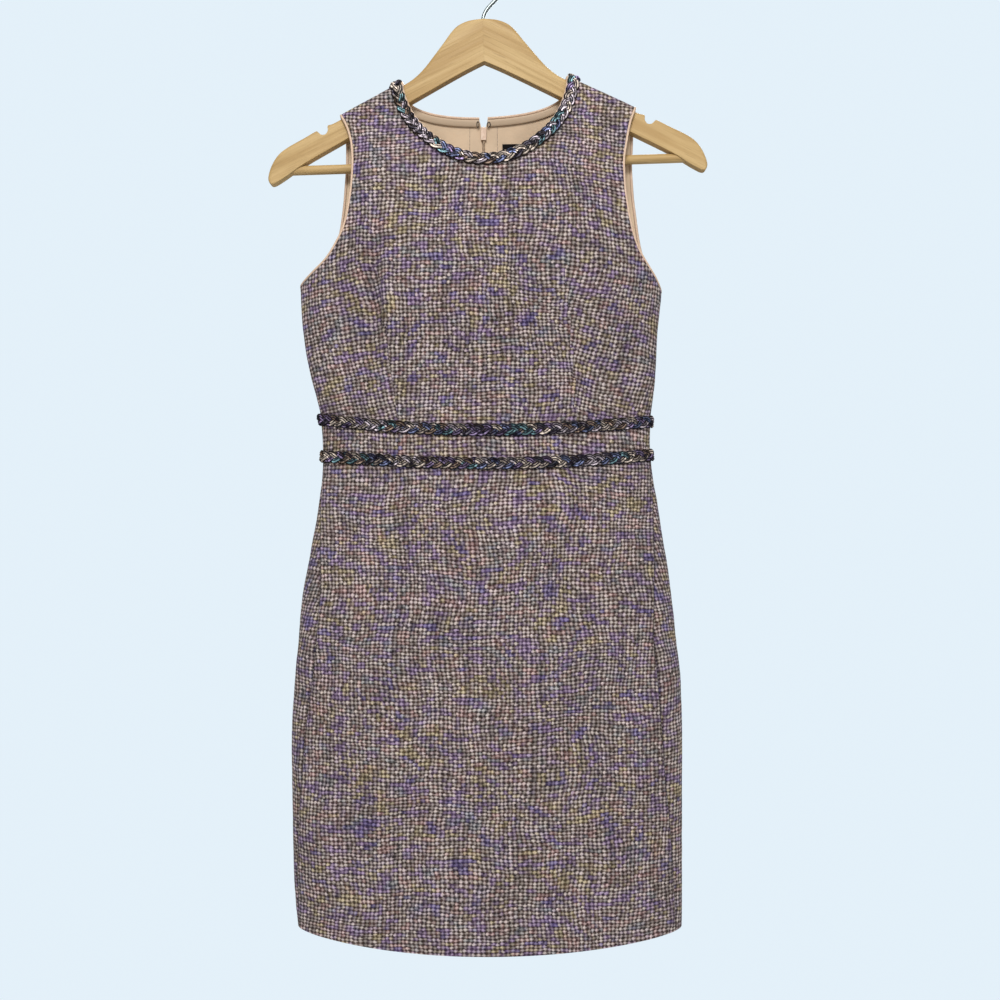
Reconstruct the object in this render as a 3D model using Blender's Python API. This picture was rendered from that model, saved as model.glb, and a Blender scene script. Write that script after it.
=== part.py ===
"""A sleeveless tweed sheath dress, hanging on a wooden hanger.

Metres, +Z up, +X to the viewer's right, the front faces -Y.
The origin is the inner top of the hanger's hook, where a rail carries it.

The dress is one form: a half-width to the left and right and a depth to the
front and back at each drop below the hook. A place on it is (turn, drop):
turn 0 is the centre front, +90 degrees the right side, 180 the centre back
and -90 the left side. Every cloth piece is a wall laid on a grid of such
places, and what lies on a piece is built from the same places, moved out.
Lengths in the tables are in millimetres.
"""
import math

import bmesh
import bpy
from mathutils import Vector
from mathutils.bvhtree import BVHTree

MM = 0.001
RIGHT_ANGLE = math.pi / 2

# ---------------------------------------------------------------- cloth sizes
TWEED = 2.0                # wall of the tweed
LINING = 1.0               # wall of the lining, of the zip's tapes and of the label
LINING_GAP = 0.6           # between the tweed and the lining
SEAM = 0.3                 # between pieces that meet at a seam
BINDING_WIDTH = 2.0        # the pale edge of the neck and the armholes
BINDING_PROUD = 0.2        # how far it stands over the wall that it edges
BRAID_WIDTH = 12.4
BRAID_STITCH = 8.7         # length of one stitch of the plait
BRAID_LIFT = 0.45          # the braid's flat back over the cloth
BRAID_HIGH = 4.4           # a strand where it comes to the top
BRAID_LOW = 3.0            # the same strand where it goes under
BRAID_MID = 3.1            # the middle, where strands cross
BRAID_SWAY = 0.5           # how far each edge swells and draws in

DRESS_X = 6.4              # the dress's middle, to the right of the hook
BACK_SEAM_X = 2.2          # the centre-back seam, to the right of the hook

# --------------------------------------------------------------- hanger sizes
TILT = math.radians(1.9)   # the hanger hangs lower on its left
ARM_THICK = 12.0
WIRE = 3.8                 # the hook's wire
HOOK_INNER = 19.0          # inside radius of the hook
HOOK_FOOT = 54.6           # drop of the wire's foot, just over the wood
BAR_RADIUS = 4.7
BAR_DROP = 203.0
BAR_REACH = 207.0          # the bar's half length, into its sockets
SHOULDER_SLOPE = math.radians(26.66)
SHOULDER_REST = 1.0        # clearance over the middle of the wood's rounded top
ARM_TOP_ACROSS = 86.0      # a point on the straight top of an arm
ARM_TOP_DROP = 121.8

NECK_HALF = 86.0           # half the neck's width, along the shoulders
OVER_RADIUS = 7.6 + LINING + LINING_GAP + TWEED   # the cloth's bend over an arm
SHOULDER_BLEND = 100.0     # the fall over which the bend opens into the body
TIP_LEFT = -142.2          # x of the two ends of the shoulder line
TIP_RIGHT = 156.5
UNDERARM_LEFT = 330.0      # drop of the two underarm points
UNDERARM_RIGHT = 335.3
BACK_ARMHOLE_EASE = 12.0   # the back is cut this much wider at the armhole
ARMHOLE_MIDDLE = (175.0, 245.0)   # the middle of an armhole: across, drop
NECK_MIDDLE = Vector((DRESS_X, 0.0, -110.0)) * MM   # the middle of the neck's opening

ZIP_DROP = 600.0           # lower end of the zip
ZIP_OPEN_HALF = 4.5        # half the gap over the slider, at the neck
ZIP_OPEN_DROP = 165.0      # where that gap closes
TAPE_WIDTH = 13.4
TAPE_GAP_HALF = 1.1
BESIDE_TAPE = TAPE_GAP_HALF + TAPE_WIDTH + SEAM   # where the back lining starts
COIL_WIDTH = 2.6
COIL_THICK = 1.6
COIL_GAP = 0.8             # what lies on the tapes or on the lining, over their facets


class Table:
    """Rows of named columns, read between rows by a cubic that never overshoots."""

    def __init__(self, columns, rows):
        self.keys = [row[0] for row in rows]
        self.values = {}
        self.slopes = {}
        for index, name in enumerate(columns[1:], start=1):
            values = [row[index] for row in rows]
            self.values[name] = values
            self.slopes[name] = self._slopes(values)

    def _slopes(self, values):
        steps = [b - a for a, b in zip(self.keys, self.keys[1:])]
        rises = [(b - a) / h for a, b, h in zip(values, values[1:], steps)]
        slopes = [rises[0]]
        for before, after in zip(rises, rises[1:]):
            level = before * after <= 0
            slopes.append(0.0 if level else 2 * before * after / (before + after))
        slopes.append(rises[-1])
        return slopes

    def at(self, key, name):
        keys = self.keys
        key = min(max(key, keys[0]), keys[-1])
        row = 0
        while row < len(keys) - 2 and key > keys[row + 1]:
            row += 1
        step = keys[row + 1] - keys[row]
        q = (key - keys[row]) / step
        values = self.values[name]
        slopes = self.slopes[name]
        start = values[row] * (1 + 2 * q) * (1 - q) ** 2 + slopes[row] * step * q * (1 - q) ** 2
        end = values[row + 1] * q * q * (3 - 2 * q) - slopes[row + 1] * step * q * q * (1 - q)
        return start + end


# The body at each drop: half-widths, depths, and how fast the depth falls off
# towards the sides (1 is an ellipse, more is flatter there).
BODY = Table(
    ("drop", "left", "right", "front", "back", "fall"),
    [
        (110, 186.0, 176.0, 22.0, 20.0, 1.5),
        (160, 189.0, 177.0, 36.0, 29.0, 1.5),
        (205, 190.5, 178.0, 46.0, 33.0, 1.5),
        (250, 191.0, 178.5, 51.0, 34.5, 1.35),
        (300, 191.4, 178.5, 53.0, 34.0, 1.1),
        (336, 191.0, 178.0, 52.0, 32.0, 1.0),
        (360, 190.0, 175.5, 50.0, 30.5, 1.0),
        (382, 187.7, 173.6, 47.0, 29.8, 1.0),
        (403, 184.6, 172.8, 44.0, 29.6, 1.0),
        (423, 180.2, 171.8, 42.0, 29.8, 1.0),
        (444, 174.4, 169.3, 40.6, 30.2, 1.0),
        (465, 170.0, 166.8, 39.6, 30.8, 1.0),
        (485, 168.2, 166.2, 39.4, 31.4, 1.0),
        (505, 167.8, 167.2, 39.8, 32.2, 1.0),
        (525, 168.8, 169.5, 40.6, 33.4, 1.0),
        (546, 171.5, 173.3, 42.0, 35.2, 1.0),
        (566, 174.4, 176.4, 43.5, 37.2, 1.0),
        (587, 178.5, 179.6, 45.5, 39.0, 1.0),
        (607, 182.0, 183.2, 47.0, 41.5, 1.0),
        (648, 189.4, 188.6, 49.0, 44.5, 1.0),
        (689, 192.8, 193.0, 50.0, 45.0, 1.0),
        (730, 196.6, 197.6, 50.0, 44.0, 1.0),
        (791, 199.8, 199.2, 49.5, 42.5, 1.0),
        (853, 199.0, 199.0, 49.0, 41.0, 1.0),
        (914, 197.9, 199.0, 48.0, 39.5, 1.0),
        (955, 195.8, 199.0, 47.5, 38.5, 1.0),
        (985, 192.6, 198.6, 47.0, 38.0, 1.0),
    ],
)

# The armhole's edge, from the shoulder tip (0) to the underarm point (1):
# distance from the dress's middle at the front.
ARMHOLE = Table(
    ("share", "left", "right"),
    [
        (0.00, 148.6, 150.1),
        (0.10, 139.8, 143.4),
        (0.20, 135.6, 139.8),
        (0.32, 134.0, 136.6),
        (0.44, 134.6, 137.0),
        (0.56, 137.0, 139.8),
        (0.68, 141.9, 144.2),
        (0.78, 150.6, 150.4),
        (0.86, 160.5, 160.0),
        (0.93, 175.0, 169.8),
        (1.00, 190.9, 178.1),
    ],
)

# The neck's shape below the line through its two shoulder points.
NECK_SHAPES = {
    # face: (depth, power across, power down) of a squared ellipse
    "front": (90.0, 1.0, 1.2),
    "back": (32.6, 0.667, 0.667),
}

# Seams that run round the body: drop at the sides and at the two centres.
SEAM_LINES = {
    "upper_waist": {"left": 463.7, "right": 466.2, "front": 476.7, "back": 470.5},
    "lower_waist": {"left": 501.5, "right": 500.0, "front": 509.8, "back": 504.0},
    "hem": {"left": 980.0, "right": 980.5, "front": 995.2, "back": 987.0},
}

# The skirt's side seams lie this many degrees in front of the fold at the side.
SIDE_SEAM_TURN = Table(
    ("drop", "left", "right"),
    [
        (500, 2.0, 4.0),
        (546, 9.0, 13.0),
        (587, 18.5, 20.0),
        (648, 27.0, 27.0),
        (700, 27.0, 30.0),
        (800, 22.0, 27.0),
        (900, 14.0, 20.0),
        (1000, 9.0, 15.0),
    ],
)

# Soft folds, dart fullness and hollows: their line, reach and height.
FOLDS = [
    # face, x at the top, x at the foot, drop from, drop to, half width, height
    ("front", -80.0, -84.0, 235.0, 470.0, 52.0, 4.0),
    ("front", 96.0, 98.0, 235.0, 470.0, 52.0, 4.0),
    ("front", -104.0, -109.0, 262.0, 452.0, 19.0, -4.2),
    ("front", 122.0, 120.0, 285.0, 430.0, 21.0, -2.8),
    ("front", -84.0, -76.0, 530.0, 690.0, 24.0, -2.6),
    ("front", -58.0, -50.0, 640.0, 880.0, 26.0, -2.8),
    ("front", 118.0, 132.0, 620.0, 930.0, 34.0, -2.6),
    ("front", 40.0, 52.0, 660.0, 960.0, 36.0, 2.2),
    ("back", -84.0, -78.0, 300.0, 468.0, 26.0, -2.6),
    ("back", 92.0, 88.0, 290.0, 468.0, 28.0, -2.8),
    ("back", -66.0, -84.0, 560.0, 860.0, 34.0, -2.8),
    ("back", 70.0, 92.0, 600.0, 930.0, 32.0, -2.6),
]

# Half of the hanger: its outline, from the middle of the top round to the
# middle of the lower edge, and how far the faces are rounded off there.
ARM_OUTLINE = [
    # across, drop, rounding
    (0.15, 55.2, 3.0),
    (14.0, 56.8, 3.0),
    (26.0, 61.0, 3.0),
    (34.0, 67.6, 3.2),
    (41.5, 77.4, 3.6),
    (52.0, 92.4, 4.0),
    (62.0, 104.4, 4.0),
    (73.0, 114.2, 4.0),
    (86.0, 121.8, 4.0),
    (110.0, 133.85, 4.0),
    (135.0, 146.4, 4.0),
    (155.5, 156.7, 4.0),
    (161.2, 159.6, 1.2),
    (161.6, 164.6, 1.2),
    (164.2, 168.2, 1.2),
    (168.4, 168.4, 1.2),
    (171.6, 165.8, 1.2),
    (174.0, 165.4, 1.2),
    (186.0, 171.0, 3.0),
    (202.5, 179.4, 3.6),
    (212.5, 186.6, 3.6),
    (219.6, 196.6, 3.6),
    (223.6, 207.6, 3.2),
    (223.4, 214.2, 2.4),
    (219.2, 217.6, 2.0),
    (208.0, 211.6, 2.0),
    (186.0, 197.4, 1.6),
    (141.5, 173.6, 1.6),
    (77.0, 138.8, 1.6),
    (24.0, 110.8, 1.6),
    (0.15, 99.4, 1.6),
]

# ------------------------------------------------------------------ mesh grid
ROWS_BELOW_ARM = 4
UNDER_SHARES = [1.0, 0.985, 0.955, 0.915]           # the armhole's nearly level foot
SIDE_SHARES = [0.915, 0.85, 0.77, 0.66, 0.54, 0.40]  # rows up the armhole's side
UNDER_DROP = 318.0         # the row of those feet, at the centre back
STRAP_SHARES = {"front": 0.25, "back": 0.17}        # armhole share at the strap's foot
STRAP_COLUMNS = 5
STRAP_ROWS = 3             # rows of a strap below the bend over the arm
OVER_TURNS = [RIGHT_ANGLE, RIGHT_ANGLE * 2 / 3, RIGHT_ANGLE / 3, 0.0]
NECK_CORNER = math.radians(42)   # above it the neck's edge is the strap's side
NECK_COLUMNS_FRONT = 14
NECK_COLUMNS_BACK = 6
FRONT_COLUMNS = 2 * STRAP_COLUMNS + NECK_COLUMNS_FRONT
BACK_COLUMNS = STRAP_COLUMNS + NECK_COLUMNS_BACK
SKIRT_ROWS = 9
BAND_ROWS = 2

MATERIALS = {
    # slot: (colour, roughness, metallic)
    "tweed": ((0.20, 0.16, 0.17), 0.95, 0.0),
    "braid": ((0.06, 0.05, 0.09), 0.70, 0.0),
    "lining": ((0.72, 0.55, 0.42), 0.60, 0.0),
    "zip_tape": ((0.68, 0.52, 0.40), 0.80, 0.0),
    "zip_enamel": ((0.74, 0.58, 0.46), 0.35, 0.0),
    "label": ((0.01, 0.01, 0.012), 0.60, 0.0),
    "wood": ((0.62, 0.43, 0.21), 0.45, 0.0),
    "hook_metal": ((0.55, 0.55, 0.56), 0.30, 1.0),
}


def smooth_step(share):
    share = min(max(share, 0.0), 1.0)
    return share * share * (3 - 2 * share)


def spread(start, end, count):
    """count + 1 even values from start to end."""
    return [start + (end - start) * i / count for i in range(count + 1)]


# ----------------------------------------------------------------- the hanger's frame
def hang(across, drop):
    """A place on the hanger, swung by its tilt: x and drop in the world."""
    x = across * math.cos(TILT) + drop * math.sin(TILT)
    return x, drop * math.cos(TILT) - across * math.sin(TILT)


def shoulder_on_hanger(across):
    """Drop of the dress's shoulder line over the hanger, before the tilt."""
    cloth = SHOULDER_REST + LINING + LINING_GAP + TWEED
    over_wood = cloth / math.cos(SHOULDER_SLOPE)
    fall = (abs(across) - ARM_TOP_ACROSS) * math.tan(SHOULDER_SLOPE)
    return ARM_TOP_DROP - over_wood + fall


def shoulder_drop(x):
    """Drop of the shoulder line at x; inside the neck the two lines run on."""
    drops = []
    for side in (-1, 1):
        start_x, start_drop = hang(side * NECK_HALF, shoulder_on_hanger(NECK_HALF))
        slope = math.tan(SHOULDER_SLOPE - side * TILT)
        drops.append(start_drop + (side * (x - start_x)) * slope)
    return max(drops)


# ------------------------------------------------------------------ the dress's form
def side_of(turn):
    return "left" if math.sin(turn) < 0 else "right"


def face_of(turn):
    return "front" if math.cos(turn) >= 0 else "back"


def turn_at(x, drop, piece):
    """The turn of a place at x on the piece front, back_left or back_right."""
    offset = x - DRESS_X
    side = "left" if offset < 0 else "right"
    lean = math.asin(max(-1.0, min(1.0, offset / BODY.at(drop, side))))
    if piece == "front":
        return lean
    return (math.pi if piece == "back_right" else -math.pi) - lean


def fold_height(face, x, drop):
    height = 0.0
    for where, x_top, x_foot, top, foot, half_width, rise in FOLDS:
        along = (drop - top) / (foot - top)
        if where != face or not 0 < along < 1:
            continue
        across = (x - x_top - (x_foot - x_top) * along) / half_width
        if abs(across) < 1:
            height += rise * (1 - across * across) ** 2 * math.sin(math.pi * along) ** 1.5
    return height


def depth_at(turn, x, drop):
    """How far the cloth's outer side lies in front of, or behind, the hanger's plane."""
    face = face_of(turn)
    fall = max(drop - shoulder_drop(x), 0.0)
    bend = math.acos(1 - min(fall, OVER_RADIUS) / OVER_RADIUS)
    body = BODY.at(drop, face) * abs(math.cos(turn)) ** BODY.at(drop, "fall")
    body += fold_height(face, x, drop)
    over = SEAM / 2 + (OVER_RADIUS - SEAM / 2) * math.sin(bend)
    opened = smooth_step(fall / SHOULDER_BLEND)
    return max(over * (1 - opened) + body * opened, 0.0)


def form(turn, drop):
    """A point of the tweed's outer side: x, y and z in millimetres."""
    x = DRESS_X + BODY.at(drop, side_of(turn)) * math.sin(turn)
    depth = depth_at(turn, x, drop)
    return x, -depth if face_of(turn) == "front" else depth, -drop


def place(turn, drop):
    """The same point as a vector, in metres."""
    return Vector(form(turn, drop)) * MM


def step_between(before, after):
    """The unit direction from one point to another."""
    step = [b - a for a, b in zip(before, after)]
    length = math.sqrt(sum(value * value for value in step))
    return Vector([value / length for value in step])


def normal(turn, drop):
    """The outward direction there, from two short steps along the cloth."""
    turn_step = 1e-7
    drop_step = 1e-4
    edge = 5e-4
    x = DRESS_X + BODY.at(drop, side_of(turn)) * math.sin(turn)
    drop = max(drop, shoulder_drop(x) + edge)
    along = step_between(form(turn - turn_step, drop), form(turn + turn_step, drop))
    down = step_between(form(turn, drop - drop_step), form(turn, drop + drop_step))
    return down.cross(along).normalized()


def seam_drop(line, turn):
    """Drop of one of the round seams: it dips towards the centres."""
    ends = SEAM_LINES[line]
    side_share = (math.sin(turn) + 1) / 2
    side = ends["left"] + (ends["right"] - ends["left"]) * side_share
    return side + (ends[face_of(turn)] - side) * math.cos(turn) ** 2


def half_gap_turn(turn, drop):
    """Half a seam's gap, as a turn."""
    width = BODY.at(drop, side_of(turn)) * math.cos(turn)
    depth = BODY.at(drop, face_of(turn)) * math.sin(turn)
    return SEAM / 2 / math.hypot(width, depth)


def side_seam(side, face, drop, forward):
    """Turn of a side seam's edge on one face; forward is its turn to the front."""
    turn = side * (RIGHT_ANGLE - forward)
    gap = half_gap_turn(turn, drop)
    return turn - side * gap if face == "front" else turn + side * gap


def skirt_side(side, face, drop):
    column = "left" if side < 0 else "right"
    return side_seam(side, face, drop, math.radians(SIDE_SEAM_TURN.at(drop, column)))


def back_edge(side, drop, offset=SEAM / 2):
    """Turn of an edge beside the centre-back seam."""
    return turn_at(BACK_SEAM_X + side * offset, drop, piece_of(side, "back"))


# ------------------------------------------------------------------ edges of the bodice
def armhole_place(side, face, share):
    """(turn, drop) on the armhole's edge; share runs from the shoulder to the underarm."""
    column = "left" if side < 0 else "right"
    tip = shoulder_drop(TIP_LEFT if side < 0 else TIP_RIGHT)
    underarm = UNDERARM_LEFT if side < 0 else UNDERARM_RIGHT
    drop = tip + (underarm - tip) * share
    reach = ARMHOLE.at(share, column)
    if face == "back":
        reach += BACK_ARMHOLE_EASE * math.sin(math.pi * share) ** 0.8
    seam = side_seam(side, face, drop, 0.0)
    if share >= 1:
        return seam, drop
    limit = abs(seam)
    turn = turn_at(DRESS_X + side * reach, drop, piece_of(side, face))
    if face == "front":
        return side * min(abs(turn), limit), drop
    return side * max(abs(turn), limit), drop


def piece_of(side, face):
    """The name of the bodice piece on a side of a face."""
    if face == "front":
        return "front"
    return "back_right" if side > 0 else "back_left"


def neck_place(face, angle):
    """x and drop on the neck's edge: angle 0 is its right end, pi its left one."""
    deep, power_across, power_down = NECK_SHAPES[face]
    cosine = math.cos(angle)
    sine = max(math.sin(angle), 0.0)
    across = math.copysign(abs(cosine) ** power_across, cosine) * NECK_HALF
    return hang(across, shoulder_on_hanger(NECK_HALF) + deep * sine ** power_down)


def neck_turn(face, angle):
    """(turn, drop) of a place on the neck's edge."""
    x, drop = neck_place(face, angle)
    side = 1 if x >= BACK_SEAM_X else -1
    return turn_at(x, drop, piece_of(side, face)), drop


def neck_angle(side, share):
    """The angle at a share of the way from the neck's end, on one side, to its middle."""
    return RIGHT_ANGLE + side * RIGHT_ANGLE * (share - 1)


def strap_falls(foot_fall):
    """Falls below the shoulder line at a strap's rows above its foot."""
    bent = [OVER_RADIUS * (1 - math.cos(turn)) for turn in OVER_TURNS]
    return spread(foot_fall, OVER_RADIUS, STRAP_ROWS)[1:-1] + bent


def find_share(value_of, wanted):
    """The share in 0 to 1 where a rising function reaches a value."""
    low = 0.0
    high = 1.0
    for _ in range(50):
        middle = (low + high) / 2
        if value_of(middle) < wanted:
            low = middle
        else:
            high = middle
    return (low + high) / 2


def armhole_upper(side, face):
    """The armhole's edge along the strap, from its foot to the shoulder tip."""
    foot = STRAP_SHARES[face]
    length = armhole_place(side, face, 1.0)[1] - armhole_place(side, face, 0.0)[1]
    shares = [foot] + [fall / length for fall in strap_falls(foot * length)]
    return [armhole_place(side, face, share) for share in shares]


def neck_upper(side, face):
    """The neck's edge along the strap, from the neck's corner to the shoulder."""
    corner = NECK_CORNER / RIGHT_ANGLE

    def fall_at(share):
        x, drop = neck_place(face, neck_angle(side, share * corner))
        return drop - shoulder_drop(x)

    rows = [neck_turn(face, neck_angle(side, corner))]
    for fall in strap_falls(fall_at(1.0))[:-1]:
        rows.append(neck_turn(face, neck_angle(side, find_share(fall_at, fall) * corner)))
    return rows + [neck_turn(face, neck_angle(side, 0.0))]


def even_row(start, end, count):
    """Places evenly between two."""
    shares = spread(0.0, 1.0, count)
    return [tuple(a + (b - a) * share for a, b in zip(start, end)) for share in shares]


def strap_foot(side, face):
    """The row across a strap's foot, from the armhole to the neck's corner."""
    corner = neck_turn(face, neck_angle(side, NECK_CORNER / RIGHT_ANGLE))
    return even_row(armhole_place(side, face, STRAP_SHARES[face]), corner, STRAP_COLUMNS)


def shoulder_row(side, face):
    """The shoulder seam, from the tip to the neck."""
    tip = TIP_LEFT if side < 0 else TIP_RIGHT
    neck = neck_place(face, neck_angle(side, 0.0))[0]
    row = [(x, shoulder_drop(x)) for x in spread(tip, neck, STRAP_COLUMNS)]
    return [(turn_at(x, drop, piece_of(side, face)), drop) for x, drop in row]


def patch(bottom, top, first, last):
    """A grid of (turn, drop) blended between four edges; rows run bottom to top."""
    columns = len(bottom) - 1
    height = first[0][1] - first[-1][1]
    grid = []
    for start, end in zip(first, last):
        v = (first[0][1] - start[1]) / height
        row = []
        for i in range(columns + 1):
            u = i / columns
            cell = []
            for k in (0, 1):
                ruled = (1 - v) * bottom[i][k] + v * top[i][k]
                left = start[k] - (1 - v) * bottom[0][k] - v * top[0][k]
                right = end[k] - (1 - v) * bottom[-1][k] - v * top[-1][k]
                cell.append(ruled + (1 - u) * left + u * right)
            row.append(tuple(cell))
        grid.append(row)
    grid[0] = list(bottom)
    grid[-1] = list(top)
    return grid


def strap(side, face):
    """The patch between the armhole and the neck's side, up to the shoulder."""
    return patch(
        strap_foot(side, face), shoulder_row(side, face),
        armhole_upper(side, face), neck_upper(side, face))


def under_row(side, face):
    """The armhole's foot, from the underarm point to where it turns up."""
    return [armhole_place(side, face, share) for share in UNDER_SHARES]


def lower_side(side, face):
    """(turn, drop) up the side seam, from the waist to the underarm point."""
    underarm = UNDERARM_LEFT if side < 0 else UNDERARM_RIGHT
    waist = seam_drop("upper_waist", side * RIGHT_ANGLE) - SEAM / 2
    drops = spread(waist, underarm, ROWS_BELOW_ARM)
    return [(side_seam(side, face, drop, 0.0), drop) for drop in drops]


def upper_side(side, face):
    """(turn, drop) up the armhole's side, to the strap's foot."""
    shares = SIDE_SHARES + [STRAP_SHARES[face]]
    return [armhole_place(side, face, share) for share in shares]


def lower_patch(top, first, last):
    """The patch between the waist seam and the row of the armholes' feet."""
    bottom = [(turn, seam_drop("upper_waist", turn) - SEAM / 2) for turn, drop in top]
    bottom[0] = first[0]
    bottom[-1] = last[0]
    return patch(bottom, top, first, last)


def neck_bottom_front():
    """The neck's lower edge at the front, between its two corners, left to right."""
    angles = spread(math.pi - NECK_CORNER, NECK_CORNER, NECK_COLUMNS_FRONT)
    return [neck_turn("front", angle) for angle in angles]


def back_neck_angle(side, offset):
    """The angle on the back neck's edge at offset beside the centre-back seam."""
    stop = BACK_SEAM_X + side * offset

    def reach(share):
        return (stop - neck_place("back", neck_angle(side, share))[0]) * side

    return neck_angle(side, find_share(reach, 0.0))


def neck_bottom_back(side):
    """The back neck's lower edge, from beside the zip's tape to its corner."""
    start = back_neck_angle(side, BESIDE_TAPE)
    end = neck_angle(side, NECK_CORNER / RIGHT_ANGLE)
    return [neck_turn("back", angle) for angle in spread(start, end, NECK_COLUMNS_BACK)]


def front_patches():
    """The patches of the bodice front: below the armholes, above them and two straps."""
    left = under_row(-1, "front")
    right = under_row(1, "front")
    middle = even_row(left[-1], right[-1], FRONT_COLUMNS)
    row = left[:-1] + middle + right[::-1][1:]
    top = strap_foot(-1, "front")[:-1] + neck_bottom_front()
    top += strap_foot(1, "front")[::-1][1:]
    return [
        lower_patch(row, lower_side(-1, "front"), lower_side(1, "front")),
        patch(middle, top, upper_side(-1, "front"), upper_side(1, "front")),
        strap(-1, "front"),
        strap(1, "front"),
    ]


def inner_levels():
    """Drops of the back pieces' rows beside the zip, below and above UNDER_DROP."""
    waist = seam_drop("upper_waist", math.pi) - SEAM / 2
    below = spread(waist, UNDER_DROP, ROWS_BELOW_ARM)
    return below, spread(UNDER_DROP, ZIP_OPEN_DROP, len(SIDE_SHARES) - 1)


def back_patches(side, to_seam):
    """The patches of a bodice back, from beside the zip's tape, or from the seam."""
    below, above = inner_levels()
    outer = under_row(side, "back")
    middle = even_row((back_edge(side, UNDER_DROP, BESIDE_TAPE), UNDER_DROP), outer[-1], BACK_COLUMNS)
    row = middle + outer[::-1][1:]
    inner = [(back_edge(side, level, BESIDE_TAPE), level) for level in below]
    lower = lower_patch(row, inner, lower_side(side, "back"))
    top = neck_bottom_back(side) + strap_foot(side, "back")[::-1][1:]
    inner = [(back_edge(side, level, BESIDE_TAPE), level) for level in above] + [top[0]]
    upper = patch(middle, top, inner, upper_side(side, "back"))
    if to_seam:
        corner = neck_turn("back", back_neck_angle(side, SEAM / 2 + ZIP_OPEN_HALF))
        for cells in lower + upper[:-1]:
            cells.insert(0, (back_edge(side, cells[0][1]), cells[0][1]))
        upper[-1].insert(0, corner)
    return [lower, upper, strap(side, "back")]


# ------------------------------------------------------------------ building solids
def material(slot):
    if slot in bpy.data.materials:
        return bpy.data.materials[slot]
    colour, roughness, metallic = MATERIALS[slot]
    made = bpy.data.materials.new(slot)
    made.use_nodes = True
    shader = made.node_tree.nodes["Principled BSDF"]
    shader.inputs["Base Color"].default_value = (*colour, 1.0)
    shader.inputs["Roughness"].default_value = roughness
    shader.inputs["Metallic"].default_value = metallic
    return made


def solid(name, slot, points, faces, smooth=True):
    """One closed body from its points and faces, with its faces turned outwards."""
    mesh = bpy.data.meshes.new(name)
    mesh.from_pydata([tuple(point) for point in points], [], faces)
    built = bmesh.new()
    built.from_mesh(mesh)
    bmesh.ops.recalc_face_normals(built, faces=built.faces)
    built.to_mesh(mesh)
    built.free()
    mesh.materials.append(material(slot))
    if smooth:
        mesh.shade_smooth()
        mesh.set_sharp_from_angle(angle=math.radians(40))
    made = bpy.data.objects.new(name, mesh)
    bpy.context.scene.collection.objects.link(made)
    return made


def halves(corners):
    """The two triangles of a cell, cut along the diagonal that lies nearer the form."""
    a, b, c, d = [place(*cell) for cell in corners]
    middle = place(*[sum(cell[k] for cell in corners) / 4 for k in (0, 1)])
    if ((a + c) / 2 - middle).length <= ((b + d) / 2 - middle).length:
        return (0, 1, 2), (0, 2, 3)
    return (0, 1, 3), (1, 2, 3)


def wall(name, slot, patches, outside=0.0, thick=TWEED):
    """A cloth wall on joined patches of places; its outer side lies outside mm inwards."""
    numbers = {}
    places = []
    faces = []

    def number(cell):
        key = (round(cell[0], 7), round(cell[1], 5))
        if key not in numbers:
            numbers[key] = len(places)
            places.append(cell)
        return numbers[key]

    for grid in patches:
        for low, high in zip(grid, grid[1:]):
            for i in range(len(low) - 1):
                corners = [low[i], low[i + 1], high[i + 1], high[i]]
                for triangle in halves(corners):
                    faces.append([number(corners[k]) for k in triangle])
    edges = {}
    for face in faces:
        for here, after in zip(face, face[1:] + face[:1]):
            edge = frozenset((here, after))
            edges[edge] = None if edge in edges else (here, after)
    points = []
    for depth in (outside, outside + thick):
        points += [place(*cell) - normal(*cell) * depth * MM for cell in places]
    layer = len(places)
    inner = [[layer + index for index in reversed(face)] for face in faces]
    rim = [[edge[1], edge[0], layer + edge[0], layer + edge[1]] for edge in edges.values() if edge]
    return solid(name, slot, points, faces + inner + rim)


def sweep(name, slot, rings, closed=False):
    """A solid through rings of points, one after another."""
    size = len(rings[0])
    points = [point for ring in rings for point in ring]
    faces = []
    pairs = list(zip(range(len(rings)), range(1, len(rings))))
    if closed:
        pairs.append((len(rings) - 1, 0))
    for here, after in pairs:
        for k in range(size):
            step = (k + 1) % size
            faces.append([here * size + k, here * size + step, after * size + step, after * size + k])
    if not closed:
        faces.append(list(range(size))[::-1])
        faces.append([(len(rings) - 1) * size + k for k in range(size)])
    return solid(name, slot, points, faces)


# ------------------------------------------------------------------ braids
def tree_of(panels):
    """A search tree over the outer sides of some panels."""
    points = []
    faces = []
    for panel in panels:
        start = len(points)
        points += [vertex.co.copy() for vertex in panel.data.vertices]
        faces += [[start + index for index in face.vertices] for face in panel.data.polygons]
    return BVHTree.FromPolygons(points, faces)


def lifted(tree, turn, drop, height):
    """A point at a height over the cloth: over its true form and over its facets."""
    point = place(turn, drop)
    out = normal(turn, drop)
    nearest = tree.find_nearest(point)[0]
    proud = max((nearest - point).dot(out), 0.0) if nearest else 0.0
    return point + out * (proud + height * MM)


def bulges(tree, lane):
    """How far the cloth stands over the straight steps beside each place of a lane."""
    found = [0.0] * len(lane)
    for k, (here, after) in enumerate(zip(lane, lane[1:])):
        halfway = tuple((a + b) / 2 for a, b in zip(here, after))
        chord = (place(*here) + place(*after)) / 2
        bulge = (lifted(tree, *halfway, 0.0) - chord).dot(normal(*halfway)) / MM
        found[k] = max(found[k], bulge)
        found[k + 1] = max(found[k + 1], bulge)
    return found


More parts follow.
